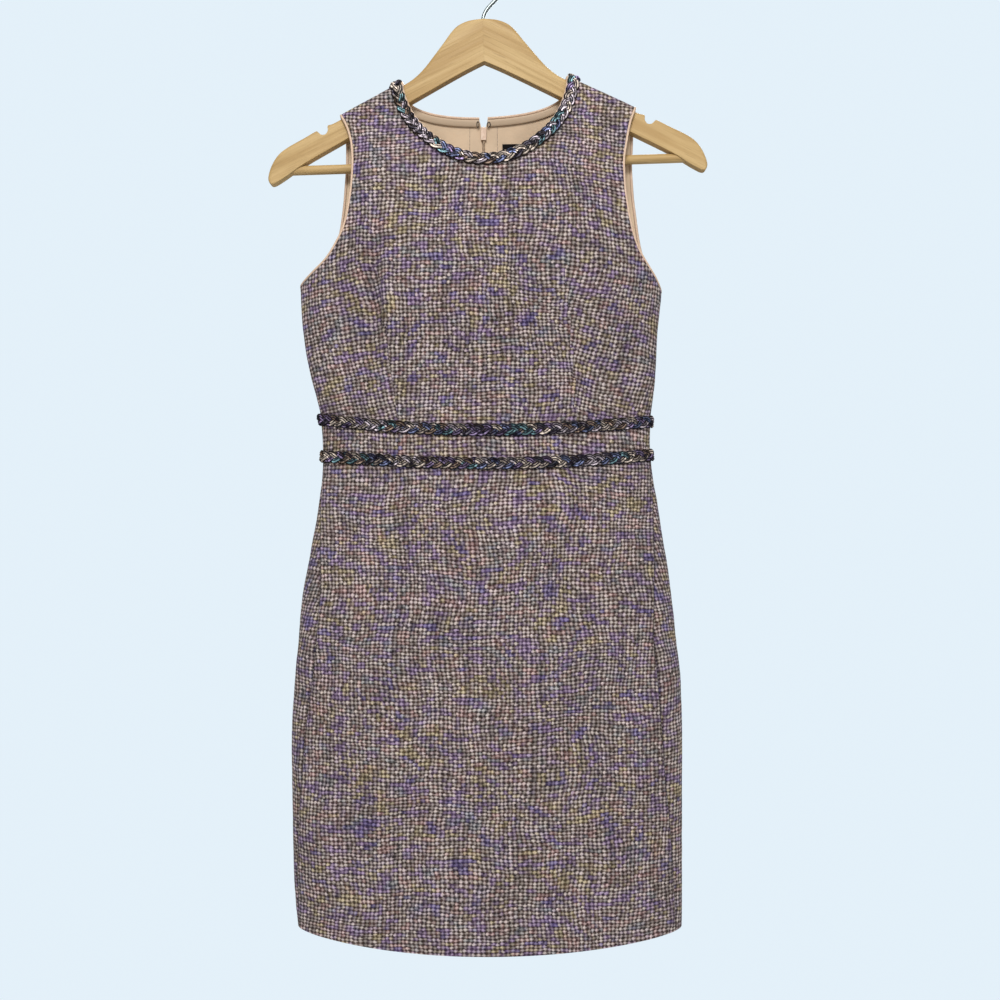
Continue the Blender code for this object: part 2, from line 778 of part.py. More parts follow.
def braid(name, tree, stations):
    """A plaited strip over stations, each the places of its two edges and its middle.

    Two rings a stitch: one edge's strand is on top at the first, the other's at
    the second, so the two rows of lobes lie half a stitch apart.
    """
    rings = []
    lane_bulges = zip(*[bulges(tree, lane) for lane in zip(*stations)])
    for index, (places, extra) in enumerate(zip(stations, lane_bulges)):
        top_first = index % 2 == 0
        high_first = BRAID_HIGH if top_first else BRAID_LOW
        high_last = BRAID_LOW if top_first else BRAID_HIGH
        bases = [lifted(tree, *cell, BRAID_LIFT + more) for cell, more in zip(places, extra)]
        out = normal(*places[1]) * MM
        crown = bases[1] + out * (BRAID_MID - BRAID_LIFT)
        crest_first = bases[0].lerp(bases[1], 0.48) + out * (high_first - BRAID_LIFT)
        crest_last = bases[2].lerp(bases[1], 0.48) + out * (high_last - BRAID_LIFT)
        rings.append([bases[0], crest_first, crown, crest_last, bases[2], bases[1]])
    return sweep(name, "braid", rings)


def stitch_count(length):
    """Half stitches along a strip, an even number."""
    return 2 * max(1, round(length / BRAID_STITCH))


def sway(index):
    """The half-widths of the two edges at a station."""
    half = BRAID_WIDTH / 2
    swell = BRAID_SWAY if index % 2 == 0 else -BRAID_SWAY
    return half + swell, half - swell


def round_braid(name, tree, line, start, end):
    """A braid over one of the round seams, between two turns."""
    turns = spread(start, end, 400)
    lengths = [0.0]
    points = [place(turn, seam_drop(line, turn)) for turn in turns]
    for here, after in zip(points, points[1:]):
        lengths.append(lengths[-1] + (after - here).length / MM)
    count = stitch_count(lengths[-1])
    stations = []
    index = 0
    for k, length in enumerate(spread(0.0, lengths[-1], count)):
        while index < len(turns) - 2 and lengths[index + 1] < length:
            index += 1
        share = (length - lengths[index]) / (lengths[index + 1] - lengths[index])
        turn = turns[index] + (turns[index + 1] - turns[index]) * min(share, 1.0)
        drop = seam_drop(line, turn)
        up, down = sway(k)
        stations.append(((turn, drop - up), (turn, drop), (turn, drop + down)))
    return braid(name, tree, stations)


def neck_curve(face, start, end, count=720):
    """Fine points along the neck's edge: x, drop and the length so far."""
    rows = []
    length = 0.0
    before = None
    for angle in spread(start, end, count):
        x, drop = neck_place(face, angle)
        point = place(*neck_turn(face, angle))
        if before is not None:
            length += (point - before).length / MM
        rows.append((x, drop, length))
        before = point
    return rows


def back_neck_curve(side, offset):
    """The back neck's edge on one side, from beside the seam to the shoulder."""
    stop = BACK_SEAM_X + side * offset
    curve = neck_curve("back", neck_angle(side, 1.2), neck_angle(side, 0.0), 1440)
    kept = [row for row in curve if (row[0] - stop) * side >= 0]
    return [(x, drop, length - kept[0][2]) for x, drop, length in kept]


def along_curve(rows, lengths):
    """x and drop at the wanted lengths along such a curve."""
    found = []
    index = 0
    for length in lengths:
        while index < len(rows) - 2 and rows[index + 1][2] < length:
            index += 1
        x0, drop0, before = rows[index]
        x1, drop1, after = rows[index + 1]
        share = min(max((length - before) / (after - before), 0.0), 1.0)
        found.append((x0 + (x1 - x0) * share, drop0 + (drop1 - drop0) * share))
    return found


def outwards(before, here, after, opening):
    """The direction across an edge at a place, away from the opening's middle."""
    run = place(*after) - place(*before)
    across = run.cross(normal(*here)).normalized()
    return across if across.dot(place(*here) - opening) > 0 else -across


def neck_braid(name, tree, curve, piece, seam_ends):
    """A braid along the neck's edge, ending on the shoulder seams named in seam_ends."""
    count = stitch_count(curve[-1][2])
    spots = along_curve(curve, spread(0.0, curve[-1][2], count))
    cells = [(turn_at(x, drop, piece), drop) for x, drop in spots]
    stations = []
    for k, (x, drop) in enumerate(spots):
        beside = (cells[max(k - 1, 0)], cells[k], cells[min(k + 1, count)])
        across = outwards(*beside, NECK_MIDDLE)
        if (k == 0 and "start" in seam_ends) or (k == count and "end" in seam_ends):
            side = math.copysign(1.0, x - DRESS_X)
            slope = SHOULDER_SLOPE - side * TILT
            across = Vector((side * math.cos(slope), 0.0, -math.sin(slope)))
        swell, draw = sway(k)
        inner = BRAID_WIDTH / 2 - draw + SEAM
        outer = BRAID_WIDTH / 2 + swell
        station = []
        for width in (inner, (inner + outer) / 2, outer):
            at_x = x + across.x * width
            at_drop = max(drop - across.z * width, shoulder_drop(at_x))
            station.append((turn_at(at_x, at_drop, piece), at_drop))
        stations.append(tuple(station))
    return braid(name, tree, stations)


# ------------------------------------------------------------------ edge bindings
def edge_ring(here, before, after, opening):
    """A binding's section just past an edge, on the side of the opening's middle."""
    point = place(*here)
    out = normal(*here)
    run = (place(*after) - point).normalized() + (point - place(*before)).normalized()
    away = run.cross(out).normalized()
    if away.dot(opening - point) < 0:
        away = -away
    proud = BINDING_PROUD * MM
    depth = (TWEED + LINING_GAP + LINING + BINDING_PROUD) * MM
    near = point + away * SEAM * MM
    far = away * BINDING_WIDTH * MM
    return [
        near + out * proud,
        near + far * 0.6 + out * proud,
        near + far - out * depth * 0.3,
        near + far - out * depth * 0.7,
        near + far * 0.6 - out * depth,
        near - out * depth,
    ]


def binding(name, edge, opening, closed=False):
    """A binding along an edge, round an opening with its middle at the point opening."""
    rings = []
    count = len(edge)
    for k in range(count):
        if closed:
            before = edge[k - 1]
            after = edge[(k + 1) % count]
        else:
            before = edge[max(k - 1, 0)]
            after = edge[min(k + 1, count - 1)]
        rings.append(edge_ring(edge[k], before, after, opening))
    return sweep(name, "lining", rings, closed)


def armhole_edge(side, face):
    """The armhole's edge from the underarm to the shoulder tip."""
    return under_row(side, face) + upper_side(side, face)[1:] + armhole_upper(side, face)[1:]


def armhole_binding(name, side):
    """The closed binding of one armhole: up the front edge and down the back one."""
    edge = armhole_edge(side, "front") + armhole_edge(side, "back")[::-1]
    opening = Vector((DRESS_X + side * ARMHOLE_MIDDLE[0], 0.0, -ARMHOLE_MIDDLE[1])) * MM
    return binding(name, edge, opening, closed=True)


# ------------------------------------------------------------------ the dress
def make_bodice():
    """The three bodice pieces."""
    panels = [wall("bodice_front", "tweed", front_patches())]
    for side in (-1, 1):
        name = f"bodice_{piece_of(side, 'back')}"
        panels.append(wall(name, "tweed", back_patches(side, True)))
    return panels


def band_grid(start_of, end_of, columns, rows, upper, lower):
    """A grid between two round seams; start_of and end_of give its edges' turns."""
    grid = []
    for share in spread(1.0, 0.0, rows):
        row = []
        for u in spread(0.0, 1.0, columns):
            turn = 0.0
            drop = 0.0
            for _ in range(3):
                turn = start_of(drop) * (1 - u) + end_of(drop) * u
                top = seam_drop(upper, turn) + SEAM / 2
                foot = seam_drop(lower, turn)
                foot -= 0.0 if lower == "hem" else SEAM / 2
                drop = top + (foot - top) * share
            row.append((turn, drop))
        grid.append(row)
    return grid


def make_round_pieces(name, edge_of, rows, upper, lower):
    """A front and two back pieces between two round seams."""
    pieces = [
        wall(f"{name}_front", "tweed", [band_grid(
            lambda drop: edge_of(-1, "front", drop),
            lambda drop: edge_of(1, "front", drop),
            FRONT_COLUMNS, rows, upper, lower)]),
    ]
    for side in (-1, 1):
        pieces.append(wall(f"{name}_{piece_of(side, 'back')}", "tweed", [band_grid(
            lambda drop, side=side: back_edge(side, drop),
            lambda drop, side=side: edge_of(side, "back", drop),
            BACK_COLUMNS, rows, upper, lower)]))
    return pieces


def make_waist_braids(panels):
    """The two braids over the waist seams, each in a front and two back lengths."""
    tree = tree_of(panels)
    for line in ("upper_waist", "lower_waist"):
        left = seam_drop(line, -RIGHT_ANGLE)
        right = seam_drop(line, RIGHT_ANGLE)
        centre = seam_drop(line, math.pi)
        start = side_seam(-1, "front", left, 0.0)
        end = side_seam(1, "front", right, 0.0)
        round_braid(f"braid_{line}_front", tree, line, start, end)
        for side, drop, label in ((-1, left, "back_left"), (1, right, "back_right")):
            start = back_edge(side, centre, SEAM)
            end = side_seam(side, "back", drop, 0.0)
            round_braid(f"braid_{line}_{label}", tree, line, start, end)


def make_neck_braids(panels):
    """The braid round the neck, in a front and two back lengths."""
    tree = tree_of(panels)
    curve = neck_curve("front", math.pi, 0.0)
    neck_braid("braid_neck_front", tree, curve, "front", ("start", "end"))
    for side, label in ((-1, "back_left"), (1, "back_right")):
        curve = back_neck_curve(side, SEAM + ZIP_OPEN_HALF)
        neck_braid(f"braid_neck_{label}", tree, curve, label, ("end",))


def make_bindings():
    """The pale edges of the neck and of the two armholes."""
    front = neck_upper(-1, "front")[::-1] + neck_bottom_front()[1:-1] + neck_upper(1, "front")
    binding("binding_neck_front", front, NECK_MIDDLE)
    for side in (-1, 1):
        corner = neck_turn("back", back_neck_angle(side, SEAM / 2 + ZIP_OPEN_HALF))
        edge = [corner] + neck_bottom_back(side)[:-1] + neck_upper(side, "back")
        binding(f"binding_neck_{piece_of(side, 'back')}", edge, NECK_MIDDLE)
        armhole_binding(f"binding_armhole_{'left' if side < 0 else 'right'}", side)


def make_lining():
    """The bodice lining: under the front, and beside the zip's tapes at the back."""
    layer = TWEED + LINING_GAP
    wall("lining_front", "lining", front_patches(), layer, LINING)
    for side in (-1, 1):
        name = f"lining_{piece_of(side, 'back')}"
        wall(name, "lining", back_patches(side, False), layer, LINING)


# ------------------------------------------------------------------ the zip and the label
LABEL_X = 22.2             # left edge of the label
LABEL_DROP = 173.6         # its top
LABEL_WIDTH = 40.0
LABEL_HEIGHT = 16.0
LABEL_GAP = 1.2            # over the lining's facets
SLIDER_TOP_DROP = 156.5
SLIDER_LENGTH = 13.0
SLIDER_HALVES = (3.5, 2.9)     # half its width at its top and at its foot
SLIDER_THICK = 2.8
LUG_THICK = 1.4
LUG_RADIUS = 2.2
LUG_HOLE = 1.2
LUG_SIDES = 12
PIN_DROP = 159.0           # the pull's hinge
PIN_OUT = 4.4              # how far the hinge stands behind the tweed
PULL_WIDTH = 6.4
PULL_LENGTH = 21.0
PULL_THICK = 1.2
PULL_BAR = 1.2
PULL_WINDOW_WIDTH = 3.2
PULL_WINDOW_HEIGHT = 3.6


def strip_grid(edges, drops, side, columns=1):
    """A grid of places on the back between two x lines, at rows of drops."""
    grid = []
    for drop in sorted(drops, reverse=True):
        row = [turn_at(x, drop, piece_of(side, "back")) for x in spread(*edges, columns)]
        grid.append([(turn, drop) for turn in row])
    return grid


def zip_levels():
    """Drops of the back pieces' rows beside the zip, down to its lower end."""
    below, above = inner_levels()
    levels = above[::-1] + below[::-1][1:]
    waist = seam_drop("upper_waist", math.pi)
    foot = seam_drop("lower_waist", math.pi)
    levels += spread(waist + SEAM / 2, foot - SEAM / 2, BAND_ROWS)
    levels += spread(foot + SEAM / 2, seam_drop("hem", math.pi), SKIRT_ROWS)
    return [level for level in levels if level < ZIP_DROP - 2.0] + [ZIP_DROP]


def make_zip_tapes():
    """The two tapes, in the lining's layer, and the closed coil on them."""
    layer = TWEED + LINING_GAP
    top = neck_place("back", RIGHT_ANGLE)[1] + SEAM
    for side in (-1, 1):
        inner = BACK_SEAM_X + side * TAPE_GAP_HALF
        outer = BACK_SEAM_X + side * (TAPE_GAP_HALF + TAPE_WIDTH)
        grid = strip_grid((inner, outer), [top] + zip_levels(), side)
        wall(f"zip_tape_{'left' if side < 0 else 'right'}", "zip_tape", [grid], layer, LINING)
    foot = SLIDER_TOP_DROP + SLIDER_LENGTH
    drops = [foot + SEAM] + [level for level in zip_levels() if level > foot]
    half = COIL_WIDTH / 2
    grid = strip_grid((BACK_SEAM_X - half, BACK_SEAM_X + half), drops, 1)
    wall("zip_coil", "zip_tape", [grid], layer + LINING + COIL_GAP, COIL_THICK)


def box_faces():
    return [[0, 1, 2, 3], [7, 6, 5, 4], [0, 4, 5, 1], [1, 5, 6, 2], [2, 6, 7, 3], [3, 7, 4, 0]]


def back_depth(drop):
    """How far the tweed's outer side lies behind the hanger's plane at the zip."""
    return depth_at(math.pi, BACK_SEAM_X, drop)


def make_slider():
    """The slider: a tapered body inside, and a lug that carries the pull outside."""
    inner = TWEED + LINING_GAP + LINING + COIL_GAP
    foot = SLIDER_TOP_DROP + SLIDER_LENGTH
    points = []
    for deep in (inner, inner + SLIDER_THICK):
        for drop, half in ((SLIDER_TOP_DROP, SLIDER_HALVES[0]), (foot, -SLIDER_HALVES[1])):
            for sign in (-1, 1):
                cell = (turn_at(BACK_SEAM_X + sign * half, drop, "back_right"), drop)
                points.append(place(*cell) - normal(*cell) * deep * MM)
    body = solid("zip_slider", "zip_enamel", points, box_faces(), smooth=False)
    pin_y = back_depth(PIN_DROP) + PIN_OUT
    root_y = back_depth(PIN_DROP) - inner - SLIDER_THICK / 2
    outline = []
    for k in range(LUG_SIDES + 1):
        turn = RIGHT_ANGLE - math.pi * k / LUG_SIDES
        outline.append((pin_y + LUG_RADIUS * math.cos(turn), -PIN_DROP + LUG_RADIUS * math.sin(turn)))
    outline += [(root_y, -PIN_DROP - LUG_RADIUS * 0.9), (root_y, -PIN_DROP + LUG_RADIUS * 0.9)]
    lug = prism("zip_lug", "zip_enamel", outline, LUG_THICK)
    hole = []
    for k in range(LUG_SIDES):
        turn = 2 * math.pi * k / LUG_SIDES
        hole.append((pin_y + LUG_HOLE * math.cos(turn), -PIN_DROP + LUG_HOLE * math.sin(turn)))
    cutter = prism("zip_lug_hole", "zip_enamel", hole, LUG_THICK * 3)
    combine(lug, cutter, "DIFFERENCE")
    combine(body, lug, "UNION")


def prism(name, slot, outline, width):
    """An outline of (y, z) in mm, extruded along X about the zip's line."""
    count = len(outline)
    points = []
    for sign in (-1, 1):
        x = BACK_SEAM_X + sign * width / 2
        points += [Vector((x, y, z)) * MM for y, z in outline]
    faces = [list(range(count)), [count + k for k in range(count)][::-1]]
    for k in range(count):
        step = (k + 1) % count
        faces.append([k, step, count + step, count + k])
    return solid(name, slot, points, faces, smooth=False)


def combine(target, tool, operation):
    """A Boolean by a tool that isn't itself a piece."""
    tool.hide_render = True
    tool.display_type = "WIRE"
    modifier = target.modifiers.new(tool.name, "BOOLEAN")
    modifier.object = tool
    modifier.operation = operation


def make_pull():
    """The pull tab: a plate with a window whose top bar turns in the lug's hole."""
    half = PULL_WIDTH / 2
    top = PULL_BAR / 2
    foot = top - PULL_LENGTH
    window = PULL_WINDOW_WIDTH / 2
    window_top = -PULL_BAR / 2
    window_foot = window_top - PULL_WINDOW_HEIGHT
    outer = [(-half * 0.86, top), (half * 0.86, top), (half, window_foot), (half, foot + 3.0),
             (half * 0.6, foot), (-half * 0.6, foot), (-half, foot + 3.0), (-half, window_foot)]
    inner = [(-window, window_top), (window, window_top), (window, window_foot),
             (-window, window_foot)]
    points = []
    for y in (-PULL_THICK / 2, PULL_THICK / 2):
        points += [Vector((x, y, z)) * MM for x, z in outer + inner]
    layer = len(outer) + len(inner)
    start = len(outer)
    front = [
        [0, 1, start + 1, start],
        [1, 2, start + 2, start + 1],
        [start + 3, start + 2, 2, 7],
        [7, 0, start, start + 3],
        [7, 2, 3, 4, 5, 6],
    ]
    faces = [face[:] for face in front]
    faces += [[index + layer for index in reversed(face)] for face in front]
    for loop, count in ((0, len(outer)), (start, len(inner))):
        for k in range(count):
            here = loop + k
            after = loop + (k + 1) % count
            faces.append([after, here, here + layer, after + layer])
    pull = solid("zip_pull", "zip_enamel", points, faces, smooth=False)
    hinge = bpy.data.objects.new("pull_hinge", None)
    bpy.context.scene.collection.objects.link(hinge)
    hinge.location = Vector((BACK_SEAM_X, back_depth(PIN_DROP) + PIN_OUT, -PIN_DROP)) * MM
    pull.parent = hinge


def make_label():
    """The plain neck label, on the lining's inner side."""
    inside = TWEED + LINING_GAP + LINING + LABEL_GAP
    drops = spread(LABEL_DROP, LABEL_DROP + LABEL_HEIGHT, 1)
    grid = strip_grid((LABEL_X, LABEL_X + LABEL_WIDTH), drops, 1, 4)
    wall("neck_label", "label", [grid], inside, LINING)


# ------------------------------------------------------------------ the hanger
def edge_steps():
    """Inset and depth shares of the rounded edge, from the flank to the face."""
    return [(0.0, 0.0), (1 - math.cos(math.pi / 4), math.sin(math.pi / 4)), (1.0, 1.0)]


def arm_loops(side):
    """Loops of the arm's outline, from its back face round the flank to its front face."""
    outline = ARM_OUTLINE
    count = len(outline)
    loops = []
    steps = edge_steps()
    for face, order in ((1, reversed(steps)), (-1, steps)):
        for inset, deep in order:
            loop = []
            for k, (across, drop, rounding) in enumerate(outline):
                before = outline[k - 1]
                after = outline[(k + 1) % count]
                run = Vector((after[0] - before[0], after[1] - before[1])).normalized()
                inwards = Vector((-run.y, run.x))
                move = inwards * rounding * inset
                if k in (0, count - 1):
                    move.x = 0.0
                x, at_drop = hang(side * (across + move.x), drop + move.y)
                y = face * (ARM_THICK / 2 - rounding * (1 - deep))
                loop.append(Vector((x, y, -at_drop)) * MM)
            loops.append(loop)
    return loops


def make_arm(side, label):
    """One wooden arm, with the blind socket of the trouser bar."""
    arm = sweep(f"hanger_arm_{label}", "wood", arm_loops(side))
    socket = bar_solid(f"bar_socket_{label}", BAR_RADIUS + SEAM, BAR_REACH + SEAM)
    combine(arm, socket, "DIFFERENCE")


def bar_solid(name, radius, reach, sides=12):
    """A round bar between the arms."""
    rings = []
    for across in (-reach, reach):
        ring = []
        for k in range(sides):
            turn = 2 * math.pi * (k + 0.5) / sides
            x, drop = hang(across, BAR_DROP + radius * math.cos(turn))
            ring.append(Vector((x, radius * math.sin(turn), -drop)) * MM)
        rings.append(ring)
    return sweep(name, "wood", rings)


def hook_line():
    """Centre line of the hook's wire, from its foot to its tip: (across, drop)."""
    radius = HOOK_INNER + WIRE / 2
    centre = HOOK_INNER
    line = [(0.0, HOOK_FOOT), (0.0, HOOK_FOOT - 4.0)]
    join = math.radians(48)        # where the foot's sweep meets the ring, below the side
    join_across = radius * math.cos(join)
    join_drop = centre + radius * math.sin(join)
    pull = 9.0
    start = Vector((0.0, HOOK_FOOT - 4.0))
    start_pull = start + Vector((0.0, -pull))
    end = Vector((join_across, join_drop))
    end_pull = end + Vector((-math.sin(join), math.cos(join))) * pull
    for q in spread(0.0, 1.0, 6)[1:]:
        p = 1 - q
        point = start * p ** 3 + start_pull * 3 * p * p * q + end_pull * 3 * p * q * q + end * q ** 3
        line.append((point.x, point.y))
    for turn in spread(-join, math.radians(205), 16)[1:]:
        line.append((radius * math.cos(turn), centre - radius * math.sin(turn)))
    return line


def make_hook(sides=8):
    """The wire hook, with a rounded tip."""
    line = hook_line()
    rings = []
    for k, (across, drop) in enumerate(line):
        before = line[max(k - 1, 0)]
        after = line[min(k + 1, len(line) - 1)]
        run = Vector((after[0] - before[0], after[1] - before[1])).normalized()
        side = Vector((-run.y, run.x))
        radius = WIRE / 2 * (0.6 if k == len(line) - 1 else 1.0)
        ring = []
        for step in range(sides):
            turn = 2 * math.pi * step / sides
            move = side * radius * math.cos(turn)
            x, at_drop = hang(across + move.x, drop + move.y)
            ring.append(Vector((x, radius * math.sin(turn), -at_drop)) * MM)
        rings.append(ring)
    sweep("hanger_hook", "hook_metal", rings)


def make_hanger():
    for side, label in ((-1, "left"), (1, "right")):
        make_arm(side, label)
    bar_solid("hanger_bar", BAR_RADIUS, BAR_REACH)
    make_hook()


def main():
    for old in list(bpy.data.objects):
        bpy.data.objects.remove(old)
    bodice = make_bodice()
    band = make_round_pieces(
        "waistband", lambda side, face, drop: side_seam(side, face, drop, 0.0),
        BAND_ROWS, "upper_waist", "lower_waist")
    skirt = make_round_pieces("skirt", skirt_side, SKIRT_ROWS, "lower_waist", "hem")
    make_waist_braids(bodice + band + skirt)
    make_neck_braids(bodice)
    make_bindings()
    make_lining()
    make_zip_tapes()
    make_slider()
    make_pull()
    make_label()
    make_hanger()


main()
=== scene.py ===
"""The looks of a sleeveless tweed sheath dress, hanging on a wooden hanger.

Metres, +Z up, the front faces -Y. The origin is the inner top of the hook.
The cloth is drawn on the same form as its solids: a place on it is (turn, drop),
with turn 0 at the centre front and drop the millimetres below the hook. That
form's tables and functions are repeated here, because a scene reads no file but
its frame. Lengths in the tables are in millimetres.
"""
import math
import random

import bpy
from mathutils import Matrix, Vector, noise


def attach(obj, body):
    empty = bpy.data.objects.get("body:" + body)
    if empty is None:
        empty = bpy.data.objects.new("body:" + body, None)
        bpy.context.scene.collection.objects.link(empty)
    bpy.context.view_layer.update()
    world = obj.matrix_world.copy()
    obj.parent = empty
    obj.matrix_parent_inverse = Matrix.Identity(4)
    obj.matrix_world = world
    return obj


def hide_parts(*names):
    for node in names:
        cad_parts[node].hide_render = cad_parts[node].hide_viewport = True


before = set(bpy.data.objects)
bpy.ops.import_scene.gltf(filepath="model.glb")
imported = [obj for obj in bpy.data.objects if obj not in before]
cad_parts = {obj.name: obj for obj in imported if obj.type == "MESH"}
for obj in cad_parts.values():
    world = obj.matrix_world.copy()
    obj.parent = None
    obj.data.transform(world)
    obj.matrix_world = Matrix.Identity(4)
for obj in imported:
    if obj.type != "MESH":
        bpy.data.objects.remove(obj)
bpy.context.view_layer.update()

BODY_NAME = "dress"

MM = 0.001
RIGHT_ANGLE = math.pi / 2
ROUND = 2 * math.pi
SIDES = ((-1, "left"), (1, "right"))
LABELS = ("front", "back_left", "back_right")

# ---------------------------------------------------------------- sizes of the solids
TWEED = 2.0
LINING = 1.0
LINING_GAP = 0.6
SEAM = 0.3
UNDER_TWEED = TWEED + LINING_GAP           # how deep the lining's outer side lies
INSIDE = UNDER_TWEED + LINING              # how deep its inner side lies
BINDING_WIDTH = 2.0
BRAID_WIDTH = 12.4
BRAID_STITCH = 8.7
DRESS_X = 6.4
BACK_SEAM_X = 2.2
TILT = math.radians(1.9)
SHOULDER_SLOPE = math.radians(26.66)
SHOULDER_REST = 1.0
ARM_TOP_ACROSS = 86.0
ARM_TOP_DROP = 121.8
NECK_HALF = 86.0
OVER_RADIUS = 7.6 + LINING + LINING_GAP + TWEED
SHOULDER_BLEND = 100.0
TIP_LEFT = -142.2
TIP_RIGHT = 156.5
UNDERARM_LEFT = 330.0
UNDERARM_RIGHT = 335.3
BACK_ARMHOLE_EASE = 12.0
ARMHOLE_MIDDLE = (175.0, 245.0)
NECK_MIDDLE = Vector((DRESS_X, 0.0, -110.0)) * MM
ZIP_DROP = 600.0
ZIP_OPEN_HALF = 4.5
ZIP_OPEN_DROP = 165.0
TAPE_WIDTH = 13.4
TAPE_GAP_HALF = 1.1
BESIDE_TAPE = TAPE_GAP_HALF + TAPE_WIDTH + SEAM
SLIDER_FOOT_DROP = 169.5
LABEL_X = 22.2
LABEL_DROP = 173.6
LABEL_WIDTH = 40.0
LABEL_HEIGHT = 16.0
LABEL_DEEP = INSIDE + 1.2
LABEL_THICK = 0.8
LABEL_GRID = (16, 8)       # columns and rows

# ------------------------------------------------------------------ cloth's own sizes
WEAVE_ACROSS = 4.35        # pitch of the tweed's dots
WEAVE_DOWN = 3.76
EDGE_SINK = 0.8            # how far a seamed edge turns in
FINE = 4                   # cloth is drawn this many times finer than its solids

# ------------------------------------------------------------------ the grid
ROWS_BELOW_ARM = 4 * FINE
STRAP_COLUMNS = 5 * FINE
STRAP_ROWS = 3 * FINE
NECK_CORNER = math.radians(42)
NECK_COLUMNS_FRONT = 14 * FINE
NECK_COLUMNS_BACK = 6 * FINE
FRONT_COLUMNS = 2 * STRAP_COLUMNS + NECK_COLUMNS_FRONT
BACK_COLUMNS = STRAP_COLUMNS + NECK_COLUMNS_BACK
SKIRT_ROWS = 112
BAND_ROWS = 8
UNDER_DROP = 318.0
STRAP_SHARES = {"front": 0.25, "back": 0.17}


def refined(values, times=FINE):
    """A list of rising or falling values with even steps put between them."""
    fine = []
    for here, after in zip(values, values[1:]):
        fine += [here + (after - here) * k / times for k in range(times)]
    return fine + [values[-1]]


UNDER_SHARES = refined([1.0, 0.985, 0.955, 0.915], 3)
SIDE_SHARES = [0.915, 0.85, 0.77, 0.66, 0.54, 0.40]
OVER_TURNS = refined([RIGHT_ANGLE, RIGHT_ANGLE * 2 / 3, RIGHT_ANGLE / 3, 0.0])


class Table:
    """Rows of named columns, read between rows by a cubic that never overshoots."""

    def __init__(self, columns, rows):
        self.keys = [row[0] for row in rows]
        self.values = {}
        self.slopes = {}
        for index, name in enumerate(columns[1:], start=1):
            values = [row[index] for row in rows]
            self.values[name] = values
            self.slopes[name] = self._slopes(values)

    def _slopes(self, values):
        steps = [b - a for a, b in zip(self.keys, self.keys[1:])]
        rises = [(b - a) / h for a, b, h in zip(values, values[1:], steps)]
        slopes = [rises[0]]
        for before, after in zip(rises, rises[1:]):
            level = before * after <= 0
            slopes.append(0.0 if level else 2 * before * after / (before + after))
        slopes.append(rises[-1])
        return slopes

    def at(self, key, name):
        keys = self.keys
        key = min(max(key, keys[0]), keys[-1])
        row = 0
        while row < len(keys) - 2 and key > keys[row + 1]:
            row += 1
        step = keys[row + 1] - keys[row]
        q = (key - keys[row]) / step
        values = self.values[name]
        slopes = self.slopes[name]
        start = values[row] * (1 + 2 * q) * (1 - q) ** 2 + slopes[row] * step * q * (1 - q) ** 2
        end = values[row + 1] * q * q * (3 - 2 * q) - slopes[row + 1] * step * q * q * (1 - q)
        return start + end


# The body at each drop: half-widths, depths, and how fast the depth falls off
# towards the sides (1 is an ellipse, more is flatter there).
BODY = Table(
    ("drop", "left", "right", "front", "back", "fall"),
    [
        (110, 186.0, 176.0, 22.0, 20.0, 1.5),
        (160, 189.0, 177.0, 36.0, 29.0, 1.5),
        (205, 190.5, 178.0, 46.0, 33.0, 1.5),
        (250, 191.0, 178.5, 51.0, 34.5, 1.35),
        (300, 191.4, 178.5, 53.0, 34.0, 1.1),
        (336, 191.0, 178.0, 52.0, 32.0, 1.0),
        (360, 190.0, 175.5, 50.0, 30.5, 1.0),
        (382, 187.7, 173.6, 47.0, 29.8, 1.0),
        (403, 184.6, 172.8, 44.0, 29.6, 1.0),
        (423, 180.2, 171.8, 42.0, 29.8, 1.0),
        (444, 174.4, 169.3, 40.6, 30.2, 1.0),
        (465, 170.0, 166.8, 39.6, 30.8, 1.0),
        (485, 168.2, 166.2, 39.4, 31.4, 1.0),
        (505, 167.8, 167.2, 39.8, 32.2, 1.0),
        (525, 168.8, 169.5, 40.6, 33.4, 1.0),
        (546, 171.5, 173.3, 42.0, 35.2, 1.0),
        (566, 174.4, 176.4, 43.5, 37.2, 1.0),
        (587, 178.5, 179.6, 45.5, 39.0, 1.0),
        (607, 182.0, 183.2, 47.0, 41.5, 1.0),
        (648, 189.4, 188.6, 49.0, 44.5, 1.0),
        (689, 192.8, 193.0, 50.0, 45.0, 1.0),
        (730, 196.6, 197.6, 50.0, 44.0, 1.0),
        (791, 199.8, 199.2, 49.5, 42.5, 1.0),
        (853, 199.0, 199.0, 49.0, 41.0, 1.0),
        (914, 197.9, 199.0, 48.0, 39.5, 1.0),
        (955, 195.8, 199.0, 47.5, 38.5, 1.0),
        (985, 192.6, 198.6, 47.0, 38.0, 1.0),
    ],
)

# The armhole's edge, from the shoulder tip (0) to the underarm point (1):
# distance from the dress's middle at the front.
ARMHOLE = Table(
    ("share", "left", "right"),
    [
        (0.00, 148.6, 150.1),
        (0.10, 139.8, 143.4),
        (0.20, 135.6, 139.8),
        (0.32, 134.0, 136.6),
        (0.44, 134.6, 137.0),
        (0.56, 137.0, 139.8),
        (0.68, 141.9, 144.2),
        (0.78, 150.6, 150.4),
        (0.86, 160.5, 160.0),
        (0.93, 175.0, 169.8),
        (1.00, 190.9, 178.1),
    ],
)

# The neck's shape below the line through its two shoulder points.
NECK_SHAPES = {
    # face: (depth, power across, power down) of a squared ellipse
    "front": (90.0, 1.0, 1.2),
    "back": (32.6, 0.667, 0.667),
}

# Seams that run round the body: drop at the sides and at the two centres.
SEAM_LINES = {
    "upper_waist": {"left": 463.7, "right": 466.2, "front": 476.7, "back": 470.5},
    "lower_waist": {"left": 501.5, "right": 500.0, "front": 509.8, "back": 504.0},
    "hem": {"left": 980.0, "right": 980.5, "front": 995.2, "back": 987.0},
}

